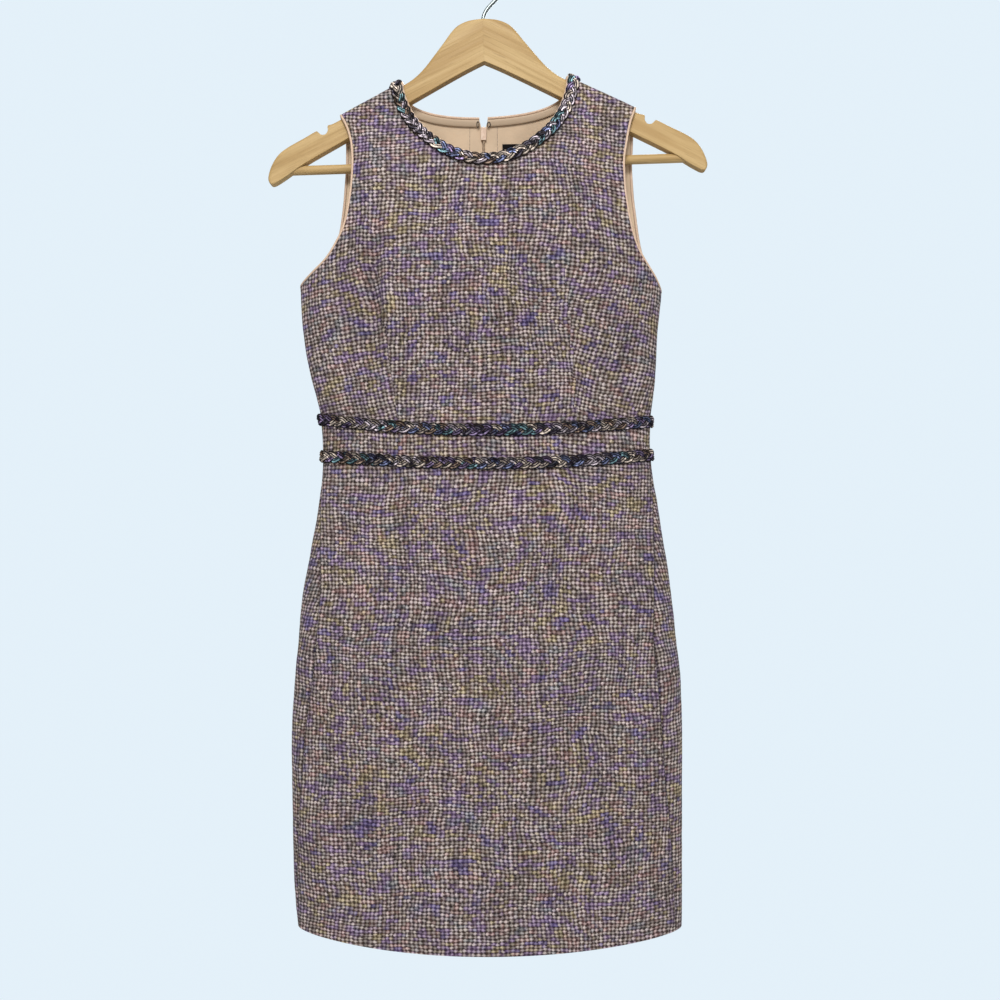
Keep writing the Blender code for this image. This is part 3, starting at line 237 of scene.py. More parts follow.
# The skirt's side seams lie this many degrees in front of the fold at the side.
SIDE_SEAM_TURN = Table(
    ("drop", "left", "right"),
    [
        (500, 2.0, 4.0),
        (546, 9.0, 13.0),
        (587, 18.5, 20.0),
        (648, 27.0, 27.0),
        (700, 27.0, 30.0),
        (800, 22.0, 27.0),
        (900, 14.0, 20.0),
        (1000, 9.0, 15.0),
    ],
)

# Soft folds, dart fullness and hollows: their line, reach and height.
FOLDS = [
    # face, x at the top, x at the foot, drop from, drop to, half width, height
    ("front", -80.0, -84.0, 235.0, 470.0, 52.0, 4.0),
    ("front", 96.0, 98.0, 235.0, 470.0, 52.0, 4.0),
    ("front", -104.0, -109.0, 262.0, 452.0, 19.0, -4.2),
    ("front", 122.0, 120.0, 285.0, 430.0, 21.0, -2.8),
    ("front", -84.0, -76.0, 530.0, 690.0, 24.0, -2.6),
    ("front", -58.0, -50.0, 640.0, 880.0, 26.0, -2.8),
    ("front", 118.0, 132.0, 620.0, 930.0, 34.0, -2.6),
    ("front", 40.0, 52.0, 660.0, 960.0, 36.0, 2.2),
    ("front", -104.0, -106.0, 222.0, 455.0, 10.0, -9.0),
    ("front", -91.0, -93.0, 228.0, 460.0, 8.5, 3.2),
    ("front", -120.0, -121.0, 230.0, 450.0, 9.0, 2.4),
    ("front", 104.0, 104.0, 240.0, 460.0, 10.0, -2.8),
    ("front", 91.0, 92.0, 240.0, 460.0, 8.0, 1.4),
    ("front", -101.0, -80.0, 300.0, 530.0, 5.0, -1.9),
    ("front", 83.0, 100.0, 295.0, 530.0, 5.0, -1.9),
    ("front", -47.0, -49.0, 190.0, 465.0, 12.0, -1.3),
    ("front", -18.0, -15.0, 190.0, 468.0, 17.0, 1.2),
    ("front", 12.0, 10.0, 215.0, 465.0, 12.0, -1.0),
    ("front", 34.0, 31.0, 200.0, 468.0, 17.0, 1.2),
    ("front", 62.0, 52.0, 260.0, 465.0, 13.0, -1.0),
    ("front", 84.0, 76.0, 300.0, 468.0, 16.0, 1.2),
    ("front", -88.0, -70.0, 560.0, 800.0, 11.0, -1.4),
    ("front", -2.0, -6.0, 505.0, 680.0, 30.0, 2.2),
    ("front", -30.0, -34.0, 520.0, 900.0, 14.0, 1.2),
    ("front", 40.0, 36.0, 520.0, 760.0, 13.0, -1.6),
    ("front", 74.0, 82.0, 540.0, 930.0, 20.0, 1.6),
    ("front", -100.0, -92.0, 760.0, 985.0, 24.0, 2.2),
    ("back", -84.0, -78.0, 300.0, 468.0, 26.0, -2.6),
    ("back", 92.0, 88.0, 290.0, 468.0, 28.0, -2.8),
    ("back", -66.0, -84.0, 560.0, 860.0, 34.0, -2.8),
    ("back", 70.0, 92.0, 600.0, 930.0, 32.0, -2.6),
]


def smooth_step(share):
    share = min(max(share, 0.0), 1.0)
    return share * share * (3 - 2 * share)


def spread(start, end, count):
    """count + 1 even values from start to end."""
    return [start + (end - start) * i / count for i in range(count + 1)]


# ----------------------------------------------------------------- the hanger's frame
def hang(across, drop):
    """A place on the hanger, swung by its tilt: x and drop in the world."""
    x = across * math.cos(TILT) + drop * math.sin(TILT)
    return x, drop * math.cos(TILT) - across * math.sin(TILT)


def shoulder_on_hanger(across):
    """Drop of the dress's shoulder line over the hanger, before the tilt."""
    cloth = SHOULDER_REST + LINING + LINING_GAP + TWEED
    over_wood = cloth / math.cos(SHOULDER_SLOPE)
    fall = (abs(across) - ARM_TOP_ACROSS) * math.tan(SHOULDER_SLOPE)
    return ARM_TOP_DROP - over_wood + fall


def shoulder_drop(x):
    """Drop of the shoulder line at x; inside the neck the two lines run on."""
    drops = []
    for side in (-1, 1):
        start_x, start_drop = hang(side * NECK_HALF, shoulder_on_hanger(NECK_HALF))
        slope = math.tan(SHOULDER_SLOPE - side * TILT)
        drops.append(start_drop + (side * (x - start_x)) * slope)
    return max(drops)


# ------------------------------------------------------------------ the dress's form
def side_of(turn):
    return "left" if math.sin(turn) < 0 else "right"


def face_of(turn):
    return "front" if math.cos(turn) >= 0 else "back"


def turn_at(x, drop, piece):
    """The turn of a place at x on the piece front, back_left or back_right."""
    offset = x - DRESS_X
    side = "left" if offset < 0 else "right"
    lean = math.asin(max(-1.0, min(1.0, offset / BODY.at(drop, side))))
    if piece == "front":
        return lean
    return (math.pi if piece == "back_right" else -math.pi) - lean


def fold_height(face, x, drop):
    height = 0.0
    for where, x_top, x_foot, top, foot, half_width, rise in FOLDS:
        along = (drop - top) / (foot - top)
        if where != face or not 0 < along < 1:
            continue
        across = (x - x_top - (x_foot - x_top) * along) / half_width
        if abs(across) < 1:
            height += rise * (1 - across * across) ** 2 * math.sin(math.pi * along) ** 1.5
    return height


def depth_at(turn, x, drop):
    """How far the cloth's outer side lies in front of, or behind, the hanger's plane."""
    face = face_of(turn)
    fall = max(drop - shoulder_drop(x), 0.0)
    bend = math.acos(1 - min(fall, OVER_RADIUS) / OVER_RADIUS)
    body = BODY.at(drop, face) * abs(math.cos(turn)) ** BODY.at(drop, "fall")
    body += fold_height(face, x, drop)
    over = SEAM / 2 + (OVER_RADIUS - SEAM / 2) * math.sin(bend)
    opened = smooth_step(fall / SHOULDER_BLEND)
    return max(over * (1 - opened) + body * opened, 0.0)


def form(turn, drop):
    """A point of the tweed's outer side: x, y and z in millimetres."""
    x = DRESS_X + BODY.at(drop, side_of(turn)) * math.sin(turn)
    depth = depth_at(turn, x, drop)
    return x, -depth if face_of(turn) == "front" else depth, -drop


def place(turn, drop):
    """The same point as a vector, in metres."""
    return Vector(form(turn, drop)) * MM


def step_between(before, after):
    """The unit direction from one point to another."""
    step = [b - a for a, b in zip(before, after)]
    length = math.sqrt(sum(value * value for value in step))
    return Vector([value / length for value in step])


def normal(turn, drop):
    """The outward direction there, from two short steps along the cloth."""
    turn_step = 1e-7
    drop_step = 1e-4
    edge = 5e-4
    x = DRESS_X + BODY.at(drop, side_of(turn)) * math.sin(turn)
    drop = max(drop, shoulder_drop(x) + edge)
    along = step_between(form(turn - turn_step, drop), form(turn + turn_step, drop))
    down = step_between(form(turn, drop - drop_step), form(turn, drop + drop_step))
    return down.cross(along).normalized()


def seam_drop(line, turn):
    """Drop of one of the round seams: it dips towards the centres."""
    ends = SEAM_LINES[line]
    side_share = (math.sin(turn) + 1) / 2
    side = ends["left"] + (ends["right"] - ends["left"]) * side_share
    return side + (ends[face_of(turn)] - side) * math.cos(turn) ** 2


def half_gap_turn(turn, drop):
    """Half a seam's gap, as a turn."""
    width = BODY.at(drop, side_of(turn)) * math.cos(turn)
    depth = BODY.at(drop, face_of(turn)) * math.sin(turn)
    return SEAM / 2 / math.hypot(width, depth)


def side_seam(side, face, drop, forward):
    """Turn of a side seam's edge on one face; forward is its turn to the front."""
    turn = side * (RIGHT_ANGLE - forward)
    gap = half_gap_turn(turn, drop)
    return turn - side * gap if face == "front" else turn + side * gap


def skirt_side(side, face, drop):
    column = "left" if side < 0 else "right"
    return side_seam(side, face, drop, math.radians(SIDE_SEAM_TURN.at(drop, column)))


def back_edge(side, drop, offset=SEAM / 2):
    """Turn of an edge beside the centre-back seam."""
    return turn_at(BACK_SEAM_X + side * offset, drop, piece_of(side, "back"))


# ------------------------------------------------------------------ edges of the bodice
def armhole_place(side, face, share):
    """(turn, drop) on the armhole's edge; share runs from the shoulder to the underarm."""
    column = "left" if side < 0 else "right"
    tip = shoulder_drop(TIP_LEFT if side < 0 else TIP_RIGHT)
    underarm = UNDERARM_LEFT if side < 0 else UNDERARM_RIGHT
    drop = tip + (underarm - tip) * share
    reach = ARMHOLE.at(share, column)
    if face == "back":
        reach += BACK_ARMHOLE_EASE * math.sin(math.pi * share) ** 0.8
    seam = side_seam(side, face, drop, 0.0)
    if share >= 1:
        return seam, drop
    limit = abs(seam)
    turn = turn_at(DRESS_X + side * reach, drop, piece_of(side, face))
    if face == "front":
        return side * min(abs(turn), limit), drop
    return side * max(abs(turn), limit), drop


def piece_of(side, face):
    """The name of the bodice piece on a side of a face."""
    if face == "front":
        return "front"
    return "back_right" if side > 0 else "back_left"


def neck_place(face, angle):
    """x and drop on the neck's edge: angle 0 is its right end, pi its left one."""
    deep, power_across, power_down = NECK_SHAPES[face]
    cosine = math.cos(angle)
    sine = max(math.sin(angle), 0.0)
    across = math.copysign(abs(cosine) ** power_across, cosine) * NECK_HALF
    return hang(across, shoulder_on_hanger(NECK_HALF) + deep * sine ** power_down)


def neck_turn(face, angle):
    """(turn, drop) of a place on the neck's edge."""
    x, drop = neck_place(face, angle)
    side = 1 if x >= BACK_SEAM_X else -1
    return turn_at(x, drop, piece_of(side, face)), drop


def neck_angle(side, share):
    """The angle at a share of the way from the neck's end, on one side, to its middle."""
    return RIGHT_ANGLE + side * RIGHT_ANGLE * (share - 1)


def strap_falls(foot_fall):
    """Falls below the shoulder line at a strap's rows above its foot."""
    bent = [OVER_RADIUS * (1 - math.cos(turn)) for turn in OVER_TURNS]
    return spread(foot_fall, OVER_RADIUS, STRAP_ROWS)[1:-1] + bent


def find_share(value_of, wanted):
    """The share in 0 to 1 where a rising function reaches a value."""
    low = 0.0
    high = 1.0
    for _ in range(50):
        middle = (low + high) / 2
        if value_of(middle) < wanted:
            low = middle
        else:
            high = middle
    return (low + high) / 2


def armhole_upper(side, face):
    """The armhole's edge along the strap, from its foot to the shoulder tip."""
    foot = STRAP_SHARES[face]
    length = armhole_place(side, face, 1.0)[1] - armhole_place(side, face, 0.0)[1]
    shares = [foot] + [fall / length for fall in strap_falls(foot * length)]
    return [armhole_place(side, face, share) for share in shares]


def neck_upper(side, face):
    """The neck's edge along the strap, from the neck's corner to the shoulder."""
    corner = NECK_CORNER / RIGHT_ANGLE

    def fall_at(share):
        x, drop = neck_place(face, neck_angle(side, share * corner))
        return drop - shoulder_drop(x)

    rows = [neck_turn(face, neck_angle(side, corner))]
    for fall in strap_falls(fall_at(1.0))[:-1]:
        rows.append(neck_turn(face, neck_angle(side, find_share(fall_at, fall) * corner)))
    return rows + [neck_turn(face, neck_angle(side, 0.0))]


def even_row(start, end, count):
    """Places evenly between two."""
    shares = spread(0.0, 1.0, count)
    return [tuple(a + (b - a) * share for a, b in zip(start, end)) for share in shares]


def strap_foot(side, face):
    """The row across a strap's foot, from the armhole to the neck's corner."""
    corner = neck_turn(face, neck_angle(side, NECK_CORNER / RIGHT_ANGLE))
    return even_row(armhole_place(side, face, STRAP_SHARES[face]), corner, STRAP_COLUMNS)


def shoulder_row(side, face):
    """The shoulder seam, from the tip to the neck."""
    tip = TIP_LEFT if side < 0 else TIP_RIGHT
    neck = neck_place(face, neck_angle(side, 0.0))[0]
    row = [(x, shoulder_drop(x)) for x in spread(tip, neck, STRAP_COLUMNS)]
    return [(turn_at(x, drop, piece_of(side, face)), drop) for x, drop in row]


def patch(bottom, top, first, last):
    """A grid of (turn, drop) blended between four edges; rows run bottom to top."""
    columns = len(bottom) - 1
    height = first[0][1] - first[-1][1]
    grid = []
    for start, end in zip(first, last):
        v = (first[0][1] - start[1]) / height
        row = []
        for i in range(columns + 1):
            u = i / columns
            cell = []
            for k in (0, 1):
                ruled = (1 - v) * bottom[i][k] + v * top[i][k]
                left = start[k] - (1 - v) * bottom[0][k] - v * top[0][k]
                right = end[k] - (1 - v) * bottom[-1][k] - v * top[-1][k]
                cell.append(ruled + (1 - u) * left + u * right)
            row.append(tuple(cell))
        grid.append(row)
    grid[0] = list(bottom)
    grid[-1] = list(top)
    return grid


def strap(side, face):
    """The patch between the armhole and the neck's side, up to the shoulder."""
    return patch(
        strap_foot(side, face), shoulder_row(side, face),
        armhole_upper(side, face), neck_upper(side, face))


def under_row(side, face):
    """The armhole's foot, from the underarm point to where it turns up."""
    return [armhole_place(side, face, share) for share in UNDER_SHARES]


def lower_side(side, face):
    """(turn, drop) up the side seam, from the waist to the underarm point."""
    underarm = UNDERARM_LEFT if side < 0 else UNDERARM_RIGHT
    waist = seam_drop("upper_waist", side * RIGHT_ANGLE) - SEAM / 2
    drops = spread(waist, underarm, ROWS_BELOW_ARM)
    return [(side_seam(side, face, drop, 0.0), drop) for drop in drops]


def upper_side(side, face):
    """(turn, drop) up the armhole's side, to the strap's foot."""
    shares = refined(SIDE_SHARES + [STRAP_SHARES[face]])
    return [armhole_place(side, face, share) for share in shares]


def lower_patch(top, first, last):
    """The patch between the waist seam and the row of the armholes' feet."""
    bottom = [(turn, seam_drop("upper_waist", turn) - SEAM / 2) for turn, drop in top]
    bottom[0] = first[0]
    bottom[-1] = last[0]
    return patch(bottom, top, first, last)


def neck_bottom_front():
    """The neck's lower edge at the front, between its two corners, left to right."""
    angles = spread(math.pi - NECK_CORNER, NECK_CORNER, NECK_COLUMNS_FRONT)
    return [neck_turn("front", angle) for angle in angles]


def back_neck_angle(side, offset):
    """The angle on the back neck's edge at offset beside the centre-back seam."""
    stop = BACK_SEAM_X + side * offset

    def reach(share):
        return (stop - neck_place("back", neck_angle(side, share))[0]) * side

    return neck_angle(side, find_share(reach, 0.0))


def neck_bottom_back(side):
    """The back neck's lower edge, from beside the zip's tape to its corner."""
    start = back_neck_angle(side, BESIDE_TAPE)
    end = neck_angle(side, NECK_CORNER / RIGHT_ANGLE)
    return [neck_turn("back", angle) for angle in spread(start, end, NECK_COLUMNS_BACK)]


def front_patches():
    """The patches of the bodice front: below the armholes, above them and two straps."""
    left = under_row(-1, "front")
    right = under_row(1, "front")
    middle = even_row(left[-1], right[-1], FRONT_COLUMNS)
    row = left[:-1] + middle + right[::-1][1:]
    top = strap_foot(-1, "front")[:-1] + neck_bottom_front()
    top += strap_foot(1, "front")[::-1][1:]
    return [
        lower_patch(row, lower_side(-1, "front"), lower_side(1, "front")),
        patch(middle, top, upper_side(-1, "front"), upper_side(1, "front")),
        strap(-1, "front"),
        strap(1, "front"),
    ]


def back_neck_start(side):
    """The back neck's edge beside the zip, from the gap to the tape's outer side."""
    angles = [back_neck_angle(side, offset) for offset in (SEAM / 2 + ZIP_OPEN_HALF, BESIDE_TAPE)]
    return [neck_turn("back", angle) for angle in spread(*angles, FINE)]


def back_patches(side, to_seam):
    """The patches of a bodice back, from beside the zip's tape, or from the seam."""
    waist = seam_drop("upper_waist", math.pi) - SEAM / 2
    neck = neck_bottom_back(side)
    outer = under_row(side, "back")
    start = (back_edge(side, UNDER_DROP, BESIDE_TAPE), UNDER_DROP)
    middle = even_row(start, outer[-1], BACK_COLUMNS)
    below = spread(waist, UNDER_DROP, ROWS_BELOW_ARM)
    inner = [(back_edge(side, level, BESIDE_TAPE), level) for level in below]
    lower = lower_patch(middle + outer[::-1][1:], inner, lower_side(side, "back"))
    above = refined(spread(UNDER_DROP, ZIP_OPEN_DROP, len(SIDE_SHARES) - 1) + [neck[0][1]])
    inner = [(back_edge(side, level, BESIDE_TAPE), level) for level in above[:-1]] + [neck[0]]
    top = neck + strap_foot(side, "back")[::-1][1:]
    upper = patch(middle, top, inner, upper_side(side, "back"))
    if to_seam:
        for row in lower + upper[1:]:
            row[:0] = beside_zip(side, row[0])
        upper[0][:0] = lower[-1][:FINE]
        upper[-1][:FINE] = back_neck_start(side)[:-1]
    return [lower, upper, strap(side, "back")]


def zip_opening(drop):
    """Half the gap between the zip's two sides, at a drop."""
    neck = neck_place("back", RIGHT_ANGLE)[1]
    share = (ZIP_OPEN_DROP - drop) / (ZIP_OPEN_DROP - neck)
    return ZIP_OPEN_HALF * min(max(share, 0.0), 1.0)


def beside_zip(side, cell):
    """The places between the zip's line and a place at the tape's outer side."""
    drop = cell[1]
    offsets = spread(SEAM / 2 + zip_opening(drop), BESIDE_TAPE, FINE)[:-1]
    return [(back_edge(side, drop, offset), drop) for offset in offsets]


# ------------------------------------------------------------------ cloth shells
def arc(width, depth, start, end, steps=6):
    """Length of an ellipse between two turns, by Simpson's rule."""
    total = 0.0
    for k in range(steps + 1):
        turn = start + (end - start) * k / steps
        speed = math.hypot(width * math.cos(turn), depth * math.sin(turn))
        total += speed * (1 if k in (0, steps) else 4 if k % 2 else 2)
    return total * (end - start) / (3 * steps)


def arc_length(turn, drop, base="front"):
    """Length round the body to a turn, from the centre of its front or of its back."""
    width = BODY.at(drop, side_of(turn))
    front = BODY.at(drop, "front")
    back = BODY.at(drop, "back")
    size = abs(turn)
    length = arc(width, front, 0.0, min(size, RIGHT_ANGLE))
    if size > RIGHT_ANGLE:
        length += arc(width, back, RIGHT_ANGLE, size)
    if base == "back":
        length -= arc(width, front, 0.0, RIGHT_ANGLE) + arc(width, back, 0.0, RIGHT_ANGLE)
    return length if turn > 0 else -length


DARTS = [
    # x and drop of the tip, x and drop of the foot, take-up in degrees
    (-101.0, 318.0, -84.0, 466.0, 11.0),
    (83.0, 312.0, 96.0, 466.0, 11.0),
]
ROUGHNESS = ((0.22, 16.0), (0.16, 5.0))     # height and width of the tweed's unevenness
DART_FADE = math.radians(165)      # how far round its tip a dart turns the grain
SEAM_REACH = 3.4                   # how far a dart seam's painted shade reaches into the cloth


def dart_turn(spot, tip, foot, side):
    """The angle of a place round a dart's tip, from the dart's line outwards."""
    line = math.atan2(side * (foot[0] - tip[0]), foot[1] - tip[1])
    return (math.atan2(side * (spot[0] - tip[0]), spot[1] - tip[1]) - line) % ROUND


def darted(spots, middle):
    """A face's cloth lengths on the front bodice, with the grain turned beside its darts."""
    for tip_x, tip_drop, foot_x, foot_drop, take_up in DARTS:
        side = math.copysign(1, tip_x)
        tip = (arc_length(turn_at(tip_x, tip_drop, "front"), tip_drop), tip_drop)
        foot = (arc_length(turn_at(foot_x, foot_drop, "front"), foot_drop), foot_drop)
        if side * middle[0] < 0:
            continue
        inner = dart_turn(middle, tip, foot, side) > math.pi
        turned = []
        for spot in spots:
            angle = dart_turn(spot, tip, foot, side)
            if inner and angle < RIGHT_ANGLE:
                angle = ROUND
            if not inner and angle > 3 * RIGHT_ANGLE:
                angle = 0.0
            lean = math.radians(take_up) * (1 - smooth_step(angle / DART_FADE))
            away = side * (spot[0] - tip[0])
            below = spot[1] - tip[1]
            turned.append((tip[0] + side * (away * math.cos(lean) + below * math.sin(lean)),
                           tip[1] + below * math.cos(lean) - away * math.sin(lean)))
        spots = turned
    return spots


def dart_painted_shade(cell, spot):
    """How much painted shade a place gets, by how near it lies to the stitched line of a dart, from
    0 to 1.
    """
    for tip_x, tip_drop, foot_x, foot_drop, take_up in DARTS:
        share = (cell[1] - tip_drop) / (foot_drop - tip_drop)
        line = tip_x + (foot_x - tip_x) * share
        if 0 < share < 1.1 and abs(spot.x / MM - line) < SEAM_REACH:
            return min(1.0, share * 4) * (1 - abs(spot.x / MM - line) / SEAM_REACH)
    return 0.0


def rough(turn, drop):
    """The tweed's unevenness at a place."""
    spot = Vector((arc_length(turn, drop), drop, 0.0))
    return sum(height * noise.noise(spot / width) for height, width in ROUGHNESS)


def key_of(cell):
    return round(cell[0], 7), round(cell[1], 5)


def shell(name, patches, depths, material, bound=(), relief=None, has_darts=False):
    """A closed cloth wall between two depths on joined patches of places.

    Its boundary turns in as a seam does, apart from the places in bound; the point
    attribute seam holds painted shade on that sunk boundary and beside the front's
    darts. Its UVs are the cloth's own lengths in metres, so a weave keeps its scale
    round the body.
    """
    numbers = {}
    places = []
    faces = []
    for grid in patches:
        for row in grid:
            for cell in row:
                if key_of(cell) not in numbers:
                    numbers[key_of(cell)] = len(places)
                    places.append(cell)
        for low, high in zip(grid, grid[1:]):
            for i in range(len(low) - 1):
                corners = (low[i], low[i + 1], high[i + 1], high[i])
                faces.append([numbers[key_of(cell)] for cell in corners])
    edges = {}
    for face in faces:
        for here, after in zip(face, face[1:] + face[:1]):
            edge = frozenset((here, after))
            edges[edge] = None if edge in edges else (here, after)
    rim = [edge for edge in edges.values() if edge]
    outer_edge = {index for edge in rim for index in edge}
    kept = {numbers[key_of(cell)] for cell in bound if key_of(cell) in numbers}
    outer = []
    inner = []
    painted_seam_shades = []
    for index, cell in enumerate(places):
        point = place(*cell)
        out = normal(*cell)
        sink = EDGE_SINK if index in outer_edge and index not in kept else 0.0
        lift = relief(*cell) if relief else 0.0
        outer.append(point - out * (depths[0] + sink - lift) * MM)
        inner.append(point - out * depths[1] * MM)
        # painted shade: full on a sunk seam edge, fading beside a dart's stitched line
        painted_seam_shades.append(1.0 if sink else dart_painted_shade(cell, point) if has_darts else 0.0)
    layer = len(places)
    skin = [[layer + index for index in reversed(face)] for face in faces]
    sides = [[edge[1], edge[0], layer + edge[0], layer + edge[1]] for edge in rim]
    made = mesh_piece(name, outer + inner, faces + skin + sides, material, angle=50)
    mesh = made.data
    # the seam attribute carries the painted shade to the tweed's colour
    shade = mesh.attributes.new("seam", "FLOAT", "POINT")
    shade.data.foreach_set("value", painted_seam_shades + painted_seam_shades)
    layer_uv = mesh.uv_layers.new(name="cloth")
    base = face_of(patches[0][0][len(patches[0][0]) // 2][0])
    spots = [(arc_length(*cell, base), cell[1]) for cell in places]
    for polygon in mesh.polygons:
        lengths = [spots[index % layer] for index in polygon.vertices]
        if has_darts:
            lengths = darted(lengths, [sum(values) / len(lengths) for values in zip(*lengths)])
        for loop, (across, down) in zip(polygon.loop_indices, lengths):
            layer_uv.data[loop].uv = (across * MM, -down * MM)
    across, down = zip(*[loop.uv for loop in layer_uv.data])
    made["cut"] = (max(across) - min(across), max(down) - min(down))
    area = sum(mesh.polygons[index].area for index in range(len(faces)))
    made["cut_area"] = min(area, made["cut"][0] * made["cut"][1])
    return made


def settle(made, slot, *nodes):
    """The piece stands for its solids, which it hides, and rides with the dress; slot is not used.
    """
    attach(made, BODY_NAME)
    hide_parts(*nodes)
    return made


def new_object(name, data):
    made = bpy.data.objects.new(name, data)
    bpy.context.scene.collection.objects.link(made)
    return made


def mesh_piece(name, points, faces, material, smooth=True, angle=40):
    mesh = bpy.data.meshes.new(name)
    mesh.from_pydata(points, [], faces)
    mesh.materials.append(material)
    if smooth:
        mesh.shade_smooth()
        mesh.set_sharp_from_angle(angle=math.radians(angle))
    return new_object(name, mesh)


def beside(points, k, closed=False):
    """The points before and after number k; an open line's ends stand for themselves."""
    if closed:
        return points[k - 1], points[(k + 1) % len(points)]
    return points[max(k - 1, 0)], points[min(k + 1, len(points) - 1)]


def ring(middle, first, second, radius, count):
    """Points in metres round a place, between two directions square to each other."""
    turns = [ROUND * step / count for step in range(count)]
    edges = [first * radius * math.cos(turn) + second * radius * math.sin(turn) for turn in turns]
    return [(middle + edge) * MM for edge in edges]


def ring_faces(start, rings, size, closed=False, caps=True):
    """Faces of a tube whose rings of points begin at number start."""
    faces = []
    for here in range(rings if closed else rings - 1):
        low = start + here * size
        high = start + (here + 1) % rings * size
        for k in range(size):
            step = (k + 1) % size
            faces.append([low + k, low + step, high + step, high + k])
    if caps and not closed:
        faces.append(list(range(start, start + size))[::-1])
        faces.append([start + (rings - 1) * size + k for k in range(size)])
    return faces


# ------------------------------------------------------------------ braids
DYES = [
    # share, colour of a stretch of a strand's light yarns
    (0.26, (0.560, 0.480, 0.410)),
    (0.22, (0.470, 0.415, 0.460)),
    (0.14, (0.240, 0.185, 0.320)),
    (0.10, (0.160, 0.190, 0.330)),
    (0.10, (0.150, 0.270, 0.300)),
    (0.10, (0.260, 0.190, 0.145)),
    (0.08, (0.070, 0.064, 0.080)),
]
DARK_YARNS = [
    (0.010, 0.008, 0.010),
    (0.014, 0.010, 0.022),
    (0.020, 0.013, 0.010),
    (0.008, 0.012, 0.018),
]
DYED_LENGTHS = (9.0, 30.0)     # how long one dye lasts along a strand
VALUES = (0.5, 1.5)            # how dull and how bright a stretch of a yarn is
FIRST_STRETCH = (4, 20)
STRETCH = (6.0, 22.0)
YARN_RADIUS = 0.48
YARN_SIDES = 5
YARN_STEP = 1.5            # length between a yarn's rings
YARN_END = 0.55            # a yarn's thickness at its ends
YARN_SWELL = (0.12, 2.1)   # how much, and how often, a yarn's thickness changes
WANDER = (0.34, 0.22)      # how far, and how often, a yarn leaves its place
GLINT = (0.55, 1.9, 0.5, 0.06)     # painted glints of the light yarns: their middle, spread, how often they come, and least
YARNS = [
    # across the strand, height, radius factor, brightness
    (-2.40, -0.75, 1.15, 0.0),
    (-1.30, -0.05, 1.75, 1.05),
    (-0.10, -0.20, 1.10, 0.0),
    (0.90, -0.05, 1.35, 0.65),
    (1.95, -0.50, 1.15, 0.0),
    (2.70, -1.05, 0.90, 0.4),
    (0.00, -1.35, 2.60, 0.0),
]
PLAIT_REACH = 3.55         # how far a strand's middle swings to each side
PLAIT_RISE = 1.05
PLAIT_HEIGHT = 2.35        # the plait's middle over the cloth


def pick_dye(dice):
    pick = dice.random()
    for share, colour in DYES:
        pick -= share
        if pick <= 0:
            break
    return colour


def dyed_stretches(dice, total):
    """Where along a strand its colour changes, and the colours."""
    ends = []
    while not ends or ends[-1][0] < total:
        start = ends[-1][0] if ends else 0.0
        ends.append((start + dice.uniform(*DYED_LENGTHS), pick_dye(dice)))
    return ends


def frames_along(cells):
    """Points, outward directions, directions across and lengths along some places."""
    points = [place(*cell) / MM for cell in cells]
    outs = [normal(*cell) for cell in cells]
    acrosses = []
    lengths = [0.0]
    for k, point in enumerate(points):
        before, after = beside(points, k)
        acrosses.append(outs[k].cross(after - before).normalized())
        if k:
            lengths.append(lengths[-1] + (point - points[k - 1]).length)
    return points, outs, acrosses, lengths


def stations_along(cells, offset_at):
    """Even stations beside a line of places: length, middle, outward and across."""
    points, outs, acrosses, lengths = frames_along(cells)
    stations = []
    index = 0
    for length in spread(0.0, lengths[-1], max(8, round(lengths[-1] / YARN_STEP))):
        while index < len(lengths) - 2 and lengths[index + 1] < length:
            index += 1
        share = (length - lengths[index]) / (lengths[index + 1] - lengths[index])
        out = outs[index].lerp(outs[index + 1], share).normalized()
        across = acrosses[index].lerp(acrosses[index + 1], share).normalized()
        middle = points[index].lerp(points[index + 1], share)
        stations.append((length, middle + across * offset_at(cells[index][0]), out, across))
    return stations


def yarn_line(stations, strand, phase, where, height):
    """A yarn's course through the plait: points, outward directions and lengths."""
    total = stations[-1][0]
    swings = max(1, round(total / BRAID_STITCH)) / 3
    line = []
    for length, middle, out, across in stations:
        turn = ROUND * (length / total * swings + strand / 3)
        sway = PLAIT_REACH * math.sin(turn)
        lean = math.atan(PLAIT_REACH * math.cos(turn) * ROUND * swings / total)
        rise = -PLAIT_RISE * math.sin(2 * turn)
        along = across.cross(out).normalized()
        wander = noise.noise(Vector((length * WANDER[1], phase, 0.0)))
        sideways = where + WANDER[0] * wander
        spot = middle + across * (sway + sideways * math.cos(lean))
        spot = spot - along * sideways * math.sin(lean)
        line.append((spot + out * (PLAIT_HEIGHT + rise + height), out, length))
    return line


def yarn_tints(dice, line, phase, dyes, bright, dark):
    """A yarn's colours along its line: dyes in brighter and duller stretches with painted glints, or
    dark.
    """
    value = bright * dice.uniform(*VALUES)
    stretch = dice.uniform(*FIRST_STRETCH)
    middle, swing, often, least = GLINT
    tints = []
    for spot, out, length in line:
        if length > stretch:
            value = bright * dice.uniform(*VALUES)
            stretch = length + dice.uniform(*STRETCH)
        dye = next(dye for end, dye in dyes if end >= length or end == dyes[-1][0])
        # painted glint: the light yarns brighten and dull in short dashes along their length
        glint = max(middle + swing * noise.noise(Vector((length * often, phase, 3.0))), least)
        tints.append([*(value * glint * part if bright else part
                        for part in (dye if bright else dark)), 1.0])
    return tints


